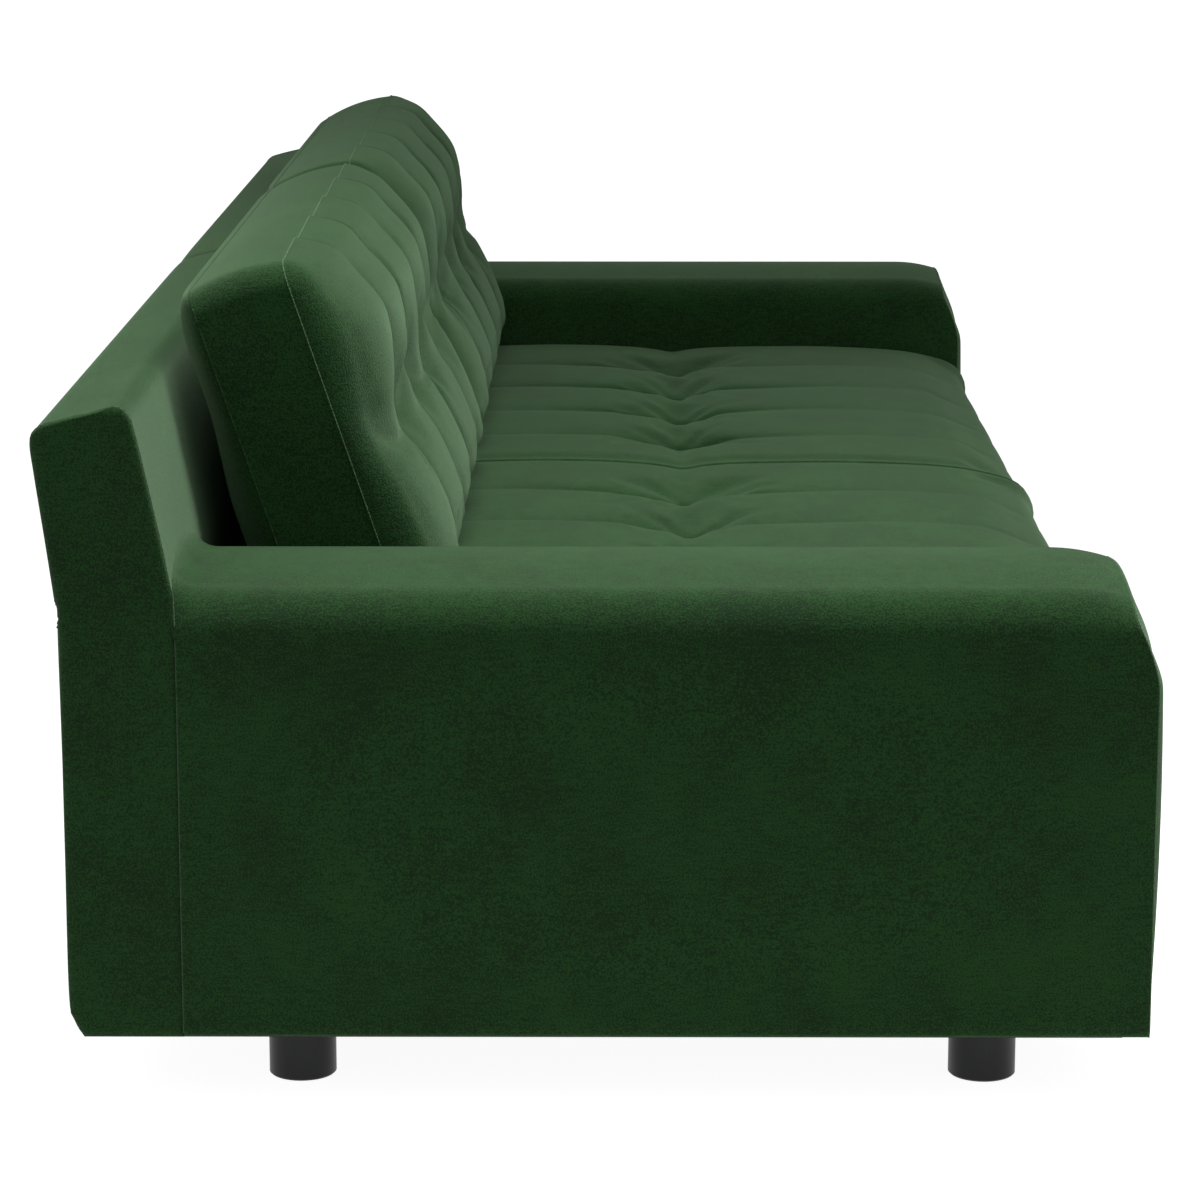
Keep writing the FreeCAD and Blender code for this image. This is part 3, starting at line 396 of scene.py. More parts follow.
# %% [markdown]
# ## Helpers for cushions
# All four cushions are made alike: a section from front to rear, repeated along the sofa, with the
# ties and tucks drawn into it. Four ties pull the cloth in, and the spare cloth falls into tucks
# that run from each tie to both sides, so a cushion reads as five panels. The ends are filled with
# grids that share the section's points, so the cover is closed. A sculpted cube would look alike
# from afar, but its folds could not be moved by a number.

# %% Cushion helpers
PANELS = 5
CUSHION_START, CUSHION_END = 2.0, 936.5
END_ROWS = 18
COLUMNS_PER_PANEL = 28
CROWDING = 0.115
NEAR_END = np.array([0.12, 0.5, 1.1])
SWAY_WAVE = 60.0
PANEL_EDGES = np.linspace(CUSHION_START, CUSHION_END, PANELS + 1)
TIES = PANEL_EDGES[1:-1]


def cushion_columns():
    """Places across a cushion, closer together near its tucks and closest at its ends."""
    share = np.linspace(0, 1, COLUMNS_PER_PANEL, endpoint=False)
    crowded = share - CROWDING * np.sin(2 * np.pi * share)
    panels = [a + (b - a) * crowded for a, b in zip(PANEL_EDGES, PANEL_EDGES[1:])]
    places = np.concatenate(panels + [[CUSHION_END]])
    return np.sort(np.concatenate([places, CUSHION_START + NEAR_END, CUSHION_END - NEAR_END]))


def from_end(x):
    """How far a place lies from the nearer end of its cushion."""
    return np.minimum(x - CUSHION_START, CUSHION_END - x)


def within_panel(x):
    """From 0 at one tuck to 1 at the next."""
    return ((x - CUSHION_START) / (CUSHION_END - CUSHION_START) * PANELS) % 1.0


def panel_swell(x):
    """0 at the tucks and 1 in the middle of each panel."""
    return 1 - np.abs(2 * within_panel(x) - 1) ** 2.5


def end_filling(loop, side_rows):
    """A grid over one end of a cushion, from the loop of its section: front, top and rear."""
    front, rear = loop[:side_rows], loop[::-1][:side_rows]
    crown = loop[side_rows - 1:len(loop) - side_rows + 1]
    base = np.linspace(loop[0], loop[-1], len(crown))
    v = np.linspace(0, 1, len(crown))[:, None, None]
    w = np.linspace(0, 1, side_rows)[None, :, None]
    corners = ((1 - v) * (1 - w) * loop[0] + v * (1 - w) * loop[-1]
               + (1 - v) * w * crown[0] + v * w * crown[-1])
    return (1 - w) * base[:, None] + w * crown[:, None] + (1 - v) * front[None] + v * rear[None] - corners


def cushion_grids(loops, columns, side_rows, side):
    """The grids of a closed cushion from its section at every column, mirrored for the left."""
    top_rows = loops.shape[1] - 2 * side_rows + 2
    base = np.stack([np.linspace(loop[0], loop[-1], top_rows) for loop in loops])
    grids = []
    for sheet in (loops, base):
        across = np.broadcast_to(columns[:, None, None], sheet.shape[:2] + (1,))
        grids.append(np.concatenate([across, sheet], axis=2))
    for end in (0, -1):
        cap = end_filling(loops[end], side_rows)
        grids.append(np.concatenate([np.full(cap.shape[:2] + (1,), columns[end]), cap], axis=2))
    return [grid * (side, 1, 1) for grid in grids]


def tucks(x, along, rng, depth, reach, floor_share, pinch):
    """How far the cloth is drawn in at x, where along is measured from the row of ties."""
    drawn = np.zeros(np.broadcast(x, along).shape)
    for tie in TIES:
        for side in (-1, 1):
            near = np.clip(along * side, 0, None)
            here = np.where(along * side >= 0, 1.0, 0.0)
            # the tuck wanders a little and is steep on one side
            swing, phase = rng.uniform(-4, 4), rng.uniform(0, 6)
            sway = swing * np.sin(near / SWAY_WAVE + phase) * soft_step(near / SWAY_WAVE)
            line = tie + rng.uniform(-0.05, 0.05) * near + sway
            fade = np.exp(-(near / (reach[side] * rng.uniform(0.85, 1.15))) ** 1.5)
            share = floor_share[side] + (1 - floor_share[side]) * fade
            off = x - line
            steep, gentle = 5.0 + 0.05 * near, 11.0 + 0.16 * near
            fold = np.exp(-np.abs(off) / np.where(off * rng.choice([-1, 1]) > 0, steep, gentle))
            drawn = np.maximum(drawn, fold * depth * share * here)
            # two short creases spread from the tie beside the tuck
            for lean in (-1, 1):
                crease = tie + lean * rng.uniform(0.5, 1.3) * near
                strength = rng.uniform(0.2, 0.5) * depth * here * soft_step(near / 10.0)
                short = np.exp(-(near / rng.uniform(45, 80)) ** 2)
                drawn = drawn + strength * short * np.exp(-((x - crease) / (5 + 0.10 * near)) ** 2)
        # the dimple at the tie itself
        drawn = drawn + pinch * np.exp(-np.hypot(x - tie, along * 1.3) / 10.0)
    return drawn


print("ties at", [round(float(tie), 1) for tie in TIES], "mm from the middle of the sofa")

# %% [markdown]
# ## Letting the covers swell
# The filling pushes a cover out between the places where it is held. Blender's cloth can do that
# with air pressure and no gravity. The fine cover has very narrow quads at its seams, which cloth
# dislikes, so an even and coarser copy is simulated. Each fine point then moves as the nearest
# points of the copy did, up to a cap. What is sewn, tied or lies against something is held still.

# %% Cloth
TRIAL_VOXEL = 8.5
TRIAL_FRAMES = 15
NEIGHBOURS, NEAR_SOFTNESS = 12, 4.0
TIE_HOLD = 10.0


def points_of(mesh):
    """The places of a mesh's points, one row each."""
    flat = np.empty(len(mesh.vertices) * 3)
    mesh.vertices.foreach_get("co", flat)
    return flat.reshape(-1, 3)


def even_copy(piece):
    """An even, coarser copy of a cover."""
    trial = new_object(piece.name + "_trial", piece.data.copy())
    even = trial.modifiers.new("even", "REMESH")
    even.mode, even.voxel_size = "VOXEL", TRIAL_VOXEL * MM
    apply_modifiers(trial)
    return trial


def blow_up(trial, start, held, pressure, spare):
    """Let air into the copy for some frames, and say how far each of its points moved."""
    fixed = trial.vertex_groups.new(name="held")
    fixed.add(np.flatnonzero(held(start / MM)).tolist(), 1.0, "REPLACE")
    cloth = trial.modifiers.new("cloth", "CLOTH")
    rules = cloth.settings
    rules.quality, rules.mass, rules.air_damping = 5, 0.3, 2.0
    rules.tension_stiffness = rules.compression_stiffness = 20.0
    rules.shear_stiffness, rules.bending_stiffness = 10.0, 0.6
    rules.use_pressure, rules.uniform_pressure_force = True, pressure
    # a shrink below nothing gives the cloth some spare length
    rules.shrink_min = -spare
    rules.vertex_group_mass = "held"
    rules.effector_weights.gravity = 0.0
    cloth.collision_settings.use_collision = False
    for number in range(1, TRIAL_FRAMES + 1):
        bpy.context.scene.frame_set(number)
    return points_of(plain_mesh(trial)) - start


def follow(fine, start, moved, share):
    """Move each fine point as the nearest points of the copy did, by its own share."""
    tree = KDTree(len(start))
    for number, point in enumerate(start):
        tree.insert(point, number)
    tree.balance()
    for number, point in enumerate(fine):
        near = tree.find_n(point, NEIGHBOURS)
        weights = np.array([1.0 / (distance + NEAR_SOFTNESS * MM) ** 2 for _, _, distance in near])
        fine[number] += share[number] * (weights @ moved[[index for _, index, _ in near]]) / weights.sum()


def swell_cover(piece, held, pressure, spare, cap, ease):
    """Swell a cover by a trial. held says what stays, ease gives each point's share of the movement."""
    trial = even_copy(piece)
    start = points_of(trial.data)
    moved = blow_up(trial, start, held, pressure, spare)
    far = np.linalg.norm(moved, axis=1, keepdims=True)
    moved *= np.minimum(1.0, cap * MM / np.maximum(far, 1e-9))
    fine = points_of(piece.data)
    follow(fine, start, moved, ease(fine / MM))
    piece.data.vertices.foreach_set("co", fine.ravel())
    piece.data.update()
    bpy.context.scene.frame_set(1)
    bpy.data.objects.remove(trial)
    usual, most = float(np.median(far)) / MM, float(far.max()) / MM
    print(piece.name, "swelled by", round(usual, 1), "mm, at most", round(most, 1), "before the cap of", cap)


def near_ties(points, along):
    """Which points lie at a tie, where along is measured from the row of ties."""
    gap = np.min(np.abs(np.abs(points[:, 0])[:, None] - TIES[None, :]), axis=1)
    return np.hypot(gap, along) < TIE_HOLD


def at_ends(points, reach):
    """Which points lie within reach of a cushion's ends."""
    return from_end(np.abs(points[:, 0])) < reach


print("cloth trial: voxels of", TRIAL_VOXEL, "mm,", TRIAL_FRAMES, "frames")

# %% [markdown]
# ## Seat cushions
# Each seat cushion is a foam slab in a loose velvet cover, 15 cm thick, with a rolled front edge
# and no boxing seam. The section is a soft line through a few points, bottom front to bottom rear,
# and the row of ties lies a little in front of its middle. A bevelled slab would give the outline
# too, but not the slack over the foam that the tucks need.

# %% Seat cushions
SEAT_LINE = [(-472, 226), (-485, 240), (-495, 275), (-498, 308), (-495, 334), (-479, 353),
             (-440, 365), (-390, 372), (-300, 376), (-210, 376), (-150, 374.5), (-118, 372),
             (-91, 368), (-64, 372), (-30, 375.5), (30, 378), (110, 378), (220, 373),
             (300, 364), (338, 346), (351, 315), (352, 270), (349, 240), (342, 226)]
SEAT_PATH_POINTS = 1200
SEAT_FRONT_SHARE, SEAT_REAR_SHARE = 0.125, 0.925
SEAT_TOP_ROWS = 132
SEAT_TIE_Y = -91.0
SEAT_SWELL = 2.5
SEAT_TUCK, SEAT_PINCH = 8.0, 11.0
SEAT_REACH, SEAT_FLOOR = {-1: 150.0, 1: 190.0}, {-1: 0.02, 1: 0.12}
SEAT_END_ROLL = 5.0
SEAT_END_LIFT = 7.0


def seat_held(points):
    """The ends, underside, rear and ties of a seat cushion."""
    top_tie = near_ties(points, points[:, 1] - SEAT_TIE_Y) & (points[:, 2] > 330)
    return at_ends(points, 6.0) | (points[:, 2] < 262) | (points[:, 1] > 336) | top_tie


def seat_ease(points):
    """The swelling fades towards the front face and the ends, which stay straight."""
    front = 1 - 0.85 * soft_step((-425.0 - points[:, 1]) / 65.0)
    return front * soft_step(from_end(np.abs(points[:, 0])) / 45.0)


def make_seat(side):
    path = smooth_path(SEAT_LINE, SEAT_PATH_POINTS)
    shares = np.concatenate([np.linspace(0, SEAT_FRONT_SHARE, END_ROWS),
                             np.linspace(SEAT_FRONT_SHARE, SEAT_REAR_SHARE, SEAT_TOP_ROWS)[1:-1],
                             np.linspace(SEAT_REAR_SHARE, 1, END_ROWS)])
    line = resample(path, shares)
    out = outward(line)
    columns = cushion_columns()
    x = columns[:, None]
    rng = np.random.default_rng(11 if side < 0 else 12)
    run = run_along(line)
    # the row of ties on the top, not the point with the same y underneath
    tie_row = np.argmin(np.abs(line[:, 0] - SEAT_TIE_Y) + 1000 * (line[:, 1] < 300))
    along = (run - run[tie_row])[None, :]
    upper = soft_step((line[:, 1] - 255) / 80)[None, :]
    swell = SEAT_SWELL * panel_swell(x) * (0.25 + 0.75 * np.exp(-(along / 260.0) ** 2))
    drawn = tucks(x, along, rng, SEAT_TUCK, SEAT_REACH, SEAT_FLOOR, SEAT_PINCH)
    lift = SEAT_END_LIFT * (1 - soft_step(from_end(x) / 50))
    roll = SEAT_END_ROLL * (1 - quarter_round(from_end(x), SEAT_END_ROLL))
    moved = (swell - drawn + lift) * upper - roll
    grids = cushion_grids(line[None] + out[None] * moved[:, :, None], columns, END_ROWS, side)
    piece = sew("seat_cushion_" + SIDES[side], grids, velvet)
    swell_cover(piece, seat_held, 4.0, 0.02, 9.0, seat_ease)
    return piece


for side in SIDES:
    loose_cushion(make_seat(side))

# %% [markdown]
# ## Back cushions
# The back cushions lean on the back. A flat strip, the boxing, runs over their top, and the front
# swells out from a crisp seam. Their row of ties makes a valley half-way up, and the top seam makes
# a small step at each tuck. An inflated box would swell alike on all sides, so front, boxing and
# rear are drawn one by one, and meet exactly in the seams.

# %% Back cushion panels
LEAN = math.tan(math.radians(18.6))
BOXING = 97.0
SEAM_TOP, SEAM_LOW, REAR_SEAM = 735.0, 400.0, 706.0
SEAM_TOP_Y = 299.0
BACK_TIE_Z = 568.0
SIDE_ROWS, BOXING_ROWS = 84, 30
# height, and how far the front stands out from the seams there
BACK_LOBES = np.array([(390, 46), (445, 54), (500, 50), (544, 41), (568, 33),
                       (592, 42), (624, 53), (660, 59), (740, 60)])
LOBE_BLUR = 9
FRONT_ROLL, LOW_ROLL, END_ROLL_FRONT, BOXING_ROLL = 72.0, 40.0, 100.0, 24.0
BACK_SWELL = 5.0
BACK_TUCK, BACK_PINCH = 8.5, 15.0
BACK_REACH, BACK_FLOOR = {-1: 130.0, 1: 110.0}, {-1: 0.18, 1: 0.05}
SEAM_STEP = 3.5
# how much of the end's turn is crisp, above and below the ties
STEEP_TOP, STEEP_LOW = 0.45, 0.72
CRISP_TURN, GENTLE_TURN = 16.0, 110.0


def front_seam(z):
    """Where the front seam of a back cushion lies at a height."""
    return SEAM_TOP_Y - LEAN * (SEAM_TOP - z)


def fullness(x):
    """0 at the ends of a back cushion and 1 over most of its length."""
    return quarter_round(from_end(x), END_ROLL_FRONT)


def front_panel(x, drop, step, rng):
    """From the lower seam up to the top seam."""
    z = SEAM_LOW + (SEAM_TOP - SEAM_LOW) * crowded_ends(SIDE_ROWS)[None, :]
    lobes = np.interp(z[0], BACK_LOBES[:, 0], BACK_LOBES[:, 1])
    blur = np.ones(LOBE_BLUR) / LOBE_BLUR
    lobes = np.convolve(np.pad(lobes, LOBE_BLUR // 2, mode="edge"), blur, mode="valid")[None, :]
    edge = quarter_round(SEAM_TOP - z, FRONT_ROLL) * quarter_round(z - SEAM_LOW, LOW_ROLL)
    drawn = tucks(x, (BACK_TIE_Z - z) * 1.05, rng, BACK_TUCK, BACK_REACH, BACK_FLOOR, BACK_PINCH)
    steep = STEEP_TOP + (STEEP_LOW - STEEP_TOP) * soft_step((BACK_TIE_Z + 30.0 - z) / 80.0)
    gentle = 1 - (1 - np.clip(from_end(x) / GENTLE_TURN, 0, 1)) ** 2
    turned = steep * quarter_round(from_end(x), CRISP_TURN) + (1 - steep) * gentle
    proud = ((lobes + BACK_SWELL * panel_swell(x)) * edge - drawn * np.sqrt(edge)) * turned
    sunk = z - drop * soft_step((z - 690.0) / 45.0)
    y = front_seam(sunk) - proud + step * np.exp(-(SEAM_TOP - z) / 14.0)
    return y, sunk + 5.0 * fullness(x) * np.exp(-((SEAM_TOP - 14 - z) / 12.0) ** 2)


def boxing_strip(x, drop, step):
    """Over the top, from the front seam to the rear seam."""
    t = np.linspace(0, 1, BOXING_ROWS)[None, :]
    front_top, rear_top = front_seam(SEAM_TOP), front_seam(REAR_SEAM) + BOXING
    rise = (4.0 + 2.0 * fullness(x)) * 4 * t * (1 - t)
    y = front_top + (rear_top - front_top) * t + 0.25 * rise - LEAN * drop + step * np.exp(-t * 8)
    return y, SEAM_TOP + (REAR_SEAM - SEAM_TOP) * t + rise - drop


def rear_panel(x, drop):
    """From the rear seam down, fuller low down where it lies against the back."""
    fall = np.linspace(REAR_SEAM, SEAM_LOW, SIDE_ROWS)[None, :]
    bulge = fullness(x) * (30.0 + 12.0 * soft_step((600.0 - fall) / 120.0))
    bulge = bulge * quarter_round(REAR_SEAM - fall, 70.0) * quarter_round(fall - SEAM_LOW, 60.0)
    z = fall - drop * soft_step((fall - 660.0) / 45.0)
    return front_seam(z) + BOXING + bulge, z


print("front seam leans from y", front_seam(SEAM_TOP), "at the top to", round(front_seam(SEAM_LOW), 1))

# %% [markdown]
# ## Back cushions, put together
# The three panels follow each other round the cushion and become one closed cover. The rows where
# they meet are kept, because the seams are drawn along them later. Only the front may swell.

# %% Back cushions
def back_held(points):
    """The ends, boxing, rear, lower edge, top seam and ties of a back cushion."""
    behind = points[:, 1] - front_seam(points[:, 2])
    front_tie = near_ties(points, points[:, 2] - BACK_TIE_Z) & (behind < 0)
    return at_ends(points, 10.0) | (behind > -6) | (points[:, 2] < 412) | front_tie


def back_ease(points):
    """The swelling fades towards the top seam and the ends."""
    return soft_step((SEAM_TOP - points[:, 2]) / 75.0) * soft_step(from_end(np.abs(points[:, 0])) / 30.0)


def make_back_cushion(side):
    columns = cushion_columns()
    x = columns[:, None]
    rng = np.random.default_rng(21 if side < 0 else 22)
    drop = BOXING_ROLL * (1 - quarter_round(from_end(x), BOXING_ROLL))
    step = side * SEAM_STEP * (within_panel(x) - 0.5) * soft_step(from_end(x) / 40)
    panels = (front_panel(x, drop, step, rng), boxing_strip(x, drop, step), rear_panel(x, drop))
    shape = (len(columns), 1)
    strips = [np.stack([y + np.zeros(shape), z + np.zeros(shape)], -1) for y, z in panels]
    loops = np.concatenate([strips[0], strips[1][:, 1:], strips[2][:, 1:]], axis=1)
    grids = cushion_grids(loops, columns, SIDE_ROWS, side)
    piece = sew("back_cushion_" + SIDES[side], grids, velvet)
    swell_cover(piece, back_held, 4.0, 0.015, 8.0, back_ease)
    cover, front_row, rear_row = grids[0], SIDE_ROWS - 1, SIDE_ROWS + BOXING_ROWS - 2
    front = [cover[0, :front_row + 1], cover[1:-1, front_row], cover[-1, :front_row + 1][::-1]]
    rear = [cover[0, rear_row:][::-1], cover[1:-1, rear_row], cover[-1, rear_row:]]
    return piece, [np.concatenate(front), np.concatenate(rear)]


seam_lines = {}
for side in SIDES:
    back, lines = make_back_cushion(side)
    seam_lines[back.name] = lines
    loose_cushion(back)

# %% [markdown]
# ## Arms
# An arm is a timber box padded with foam. Its cover goes up the outside, over the top and down the
# inside in one length, and its outer hem turns under. A bevelled box would do from afar, but not
# at the back, where the top sweeps up into the back's cover. So the cover is a grid: the section
# across the arm, moved from the front seam to the back. Its top sinks a little towards the front.

# %% Arm covers
ARM_OUTER, ARM_INNER = 1190.0, 940.0
ARM_TOP, ARM_CROWN, ARM_ROLL = 475.0, 8.0, 38.0
ARM_LOW, DECK = 66.0, 207.0
ARM_REAR, ARM_FILLET = 384.0, 26.0
ARM_SINK, ARM_BELLY = 9.0, 2.0
ARM_POINTS, HEM_POINTS, HEM_SHARE = 150, 8, 0.016
# rows from front to rear, closer together at both ends
ARM_STEPS = np.concatenate([np.linspace(0, 0.04, 10), np.linspace(0.05, 0.95, 70),
                            np.linspace(0.955, 1, 24)])


def arm_section():
    """From the lower outside to the lower inside: distance from outside and height, and how much is top."""
    width = ARM_OUTER - ARM_INNER
    flat = width - 2 * ARM_ROLL
    turn = np.linspace(0, math.pi / 2, 14)
    outer = np.stack([ARM_ROLL - ARM_ROLL * np.cos(turn),
                      ARM_TOP - ARM_ROLL + ARM_ROLL * np.sin(turn)], -1)
    crown = np.linspace(ARM_ROLL, width - ARM_ROLL, 16)[1:-1]
    top = np.stack([crown, ARM_TOP + ARM_CROWN * np.sin((crown - ARM_ROLL) / flat * math.pi)], -1)
    inner = np.stack([width - outer[::-1, 0], outer[::-1, 1]], -1)
    hem = [(8, ARM_LOW), (3.5, ARM_LOW + 1), (1, ARM_LOW + 4), (0, ARM_LOW + 10)]
    line = np.vstack([hem, outer, top, inner, [(width, DECK)]])
    rest = np.linspace(HEM_SHARE, 1, ARM_POINTS - HEM_POINTS + 1)[1:]
    line = resample(line, np.concatenate([np.linspace(0, HEM_SHARE, HEM_POINTS), rest]))
    return line, soft_step((line[:, 1] - 425) / 48)


def seam_y(height):
    """Where the front seam lies: furthest forward on the sides, further back over the top."""
    return -493.0 + 22.0 * soft_step((height - 385.0) / 90.0)


def arm_rows(side):
    """The section moved from the front seam to the back, where it turns up into the back's cover."""
    line, topness = arm_section()
    out = outward(line)
    upward = soft_step((out[:, 1] - 0.5) / 0.5)
    start = seam_y(line[:, 1])
    rows = []
    for share in ARM_STEPS:
        y = start + share * (375.5 + 11.0 * topness - start)
        sink = ARM_SINK * np.clip((-415.0 - y) / 57.0, 0, 1.1) ** 2 * topness
        turn = np.clip((y - ARM_REAR + ARM_FILLET) / ARM_FILLET, 0, 1)
        lift = ARM_FILLET * upward * (1 - np.sqrt(1 - turn ** 2))
        belly = ARM_BELLY * np.sin(np.clip((line[:, 1] - 66) / 400, 0, 1) * math.pi)
        belly = belly * math.sin(share * math.pi)
        belly = np.where(line[:, 0] < 60, belly, 0.0) * (1 - topness)
        x = ARM_OUTER - line[:, 0] + belly - out[:, 0] * lift
        rows.append(np.stack([side * x, y, line[:, 1] - sink + out[:, 1] * lift], -1))
    return np.array(rows)


print("arm section:", len(arm_section()[0]), "points, moved back in", len(ARM_STEPS), "rows")

# %% [markdown]
# ## Arm fronts
# A front panel is sewn to the cover with a plain seam. It is stuffed, so it swells forward from
# the seam, most steeply at the sides, and its lower edge turns under the arm. A filled curve would
# be flat, so the grid runs from the seam inwards to a line up the middle and rises on the way.

# %% Arm fronts
COVER_THICK = 3.0
PANEL_SPINE = 350.0
PANEL_ROWS = 26
FRONT_Y, FRONT_BOW = -500.0, 7.0
FRONT_MIDDLE, FRONT_HALF = 286.0, 220.0
HEM_END, HEM_DROP = -462.0, 0.6


def front_panel_grids(edge, side):
    """From the seam all round inwards to a line up the middle, and a hem turned under."""
    half = edge[:np.argmax(edge[:, 2]) + 1]
    mirrored = half[::-1] * (-1, 1, 1) + (side * (ARM_OUTER + ARM_INNER), 0, 0)
    rim = np.concatenate([half, mirrored[1:]])
    middle = side * (ARM_OUTER + ARM_INNER) / 2
    spine = np.stack([np.full(len(rim), middle), np.minimum(rim[:, 2], PANEL_SPINE)], -1)
    length = np.hypot(spine[:, 0] - rim[:, 0], spine[:, 1] - rim[:, 2])
    reach = 22.0 + 90.0 * soft_step((rim[:, 2] - 390.0) / 60.0)
    grid = []
    for share in np.linspace(0, 1, PANEL_ROWS) ** 1.5:
        x = rim[:, 0] + (spine[:, 0] - rim[:, 0]) * share
        z = rim[:, 2] + (spine[:, 1] - rim[:, 2]) * share
        dome = 1 - (1 - np.clip(length * share / reach, 0, 1)) ** 2
        front = FRONT_Y + FRONT_BOW * ((FRONT_MIDDLE - z) / FRONT_HALF) ** 2
        grid.append(np.stack([x, rim[:, 1] + (front - rim[:, 1]) * dome, z], -1))
    grid = np.array(grid)
    hem = np.concatenate([grid[:, 0], grid[::-1, -1][1:]])
    under = hem * (1, 0, 1) + (0, HEM_END, -HEM_DROP)
    return [grid, np.stack([hem, under])]


def make_arm(side):
    arm = "arm_" + SIDES[side]
    rows = arm_rows(side)
    tight_cover(arm + "_upholstery", [rows], (0, 0, 1), COVER_THICK, [arm + "_cover", arm + "_foam"])
    tight_cover(arm + "_front_upholstery", front_panel_grids(rows[0], side), (0, -1, 0), COVER_THICK,
                [arm + "_front_panel"])
    return rows[0]


arm_seams = {side: make_arm(side) for side in SIDES}

# %% [markdown]
# ## Back
# The back is covered in two halves that meet in a seam in the middle, with a flat panel at each
# end. Its top slopes to the rear and all its edges roll over. A bevelled box has one radius for all
# edges, so the section is a soft line through a few points instead, moved along the sofa and drawn
# in at the middle seam and the ends. The end panel fills the same outline row by row.

# %% Back
BACK_PATH = [(376, 207), (376, 330), (376, 440), (381, 490), (397, 570), (408, 620), (413, 634),
             (424, 641), (445, 636), (478, 628), (493, 622), (499, 610), (496, 580), (488, 520),
             (481, 465), (479, 449)]
# the end panel goes on down to the bottom of the sofa
END_FOOT = [(479, 250), (479, 106), (474, 80), (466, 66)]
BACK_END, BACK_LOW = 1187.7, 66
BACK_POINTS, OUTLINE_POINTS = 140, 400
BACK_END_ROLL = 7.0
END_PROUD, END_RIM, END_INSET = 4.5, 11.0, 3.0
END_THICK = 2.0
END_COLUMNS = 30


def back_rows(side):
    """The section of the back from the middle seam out to one end."""
    line = smooth_path(BACK_PATH, BACK_POINTS)
    out = outward(line)
    inside = np.concatenate([np.linspace(0, 12, 9), np.linspace(14, 1170, 120), np.linspace(1172, 1187, 9)])
    rows = []
    for x in inside:
        middle = 3.5 * np.exp(-x / 5.0) + 1.5 * np.exp(-x / 40.0)
        into_roll = BACK_END_ROLL - min(BACK_END - x, BACK_END_ROLL)
        end = BACK_END_ROLL - math.sqrt(max(BACK_END_ROLL ** 2 - into_roll ** 2, 0.0))
        loop = line - out * (middle + end)
        rows.append(np.concatenate([np.full((len(loop), 1), side * (x + 0.3)), loop], axis=1))
    return np.array(rows)


def end_panel_grid(side, outline):
    """Rows from front to rear inside the outline, standing out within a rolled rim."""
    crest = int(np.argmax(outline[:, 1]))
    top = outline[crest, 1]
    arch = 600 + (top - 600.3) * np.sin(np.linspace(0, math.pi / 2, 24))[1:]
    heights = np.concatenate([[66.2, 66.8, 68, 70, 73, 77], np.linspace(82, 600, 88), arch])
    across = crowded_ends(END_COLUMNS)
    grid = []
    for z in heights:
        front = np.interp(z, outline[:crest + 1, 1], outline[:crest + 1, 0])
        rear = np.interp(-z, -outline[crest:, 1], outline[crest:, 0])
        y = front + (rear - front) * across
        depth = np.minimum(np.minimum(2 * (y - front), rear - y), min((top - z) * 1.2, z - BACK_LOW))
        proud = END_PROUD * quarter_round(depth, END_RIM)
        grid.append(np.stack([side * (BACK_END - END_INSET + proud), y, np.full_like(y, z)], -1))
    return np.array(grid)


def make_back_half(side):
    word = SIDES[side]
    # the foam is one length, so only one half stands for it
    nodes = ["back_cover_" + word] + (["back_foam"] if side < 0 else [])
    tight_cover("back_upholstery_" + word, [back_rows(side)], (0, 0, 1), COVER_THICK, nodes)
    outline = smooth_path([(376, 66), (376, 200)] + BACK_PATH[2:] + END_FOOT, OUTLINE_POINTS)
    tight_cover("back_end_upholstery_" + word, [end_panel_grid(side, outline)], (side, 0, 0), END_THICK,
                ["back_end_panel_" + word])
    return outline


back_outlines = {side: make_back_half(side) for side in SIDES}

# %% [markdown]
# ## Outside back, front border and deck
# Three panels close the frame: velvet over wadding behind and under the seat's front, and felt
# where the cushions lie. A bevelled cube could stand for each, but a stapled panel swells in the
# middle and rolls at its rim, as a grid can. The outside back also turns under at its foot, so it
# follows a path as the back's cover does.

# %% Outside back, front border and deck
OUTSIDE_PATH = [(473, 449), (479.5, 445), (480.5, 436), (479.5, 300), (479.5, 130), (477, 95), (466, 67)]
OUTSIDE_WIDTH, OUTSIDE_ROLL = 2375.0, 8.0


def bulged_grid(corner, size, normal, proud, roll, steps, end_roll=True):
    """A padded rectangle: a grid that swells along its normal and rolls at the rim."""
    u, v = (crowded_ends(count) for count in steps)
    across, up = (np.array(direction, float) for direction in size)
    from_ends = np.minimum(u, 1 - u)[:, None] * np.linalg.norm(across) + (0 if end_roll else roll)
    depth = np.minimum(from_ends, np.minimum(v, 1 - v)[None, :] * np.linalg.norm(up))
    dome = proud * quarter_round(depth, roll)
    return (np.array(corner, float) + u[:, None, None] * across + v[None, :, None] * up
            + dome[:, :, None] * np.array(normal, float))


def outside_grid():
    """The path of the outside back, repeated along the sofa and drawn in at both ends."""
    path = smooth_path(OUTSIDE_PATH, 90)
    spread = np.concatenate([np.linspace(0, 10, 8), np.linspace(14, 2361, 150), np.linspace(2365, 2375, 8)])
    grid = []
    for x in spread:
        inset = OUTSIDE_ROLL * (1 - quarter_round(min(x, OUTSIDE_WIDTH - x), OUTSIDE_ROLL))
        across = np.full(len(path), x - OUTSIDE_WIDTH / 2)
        grid.append(np.stack([across, path[:, 0] - inset, path[:, 1]], -1))
    return np.array(grid)


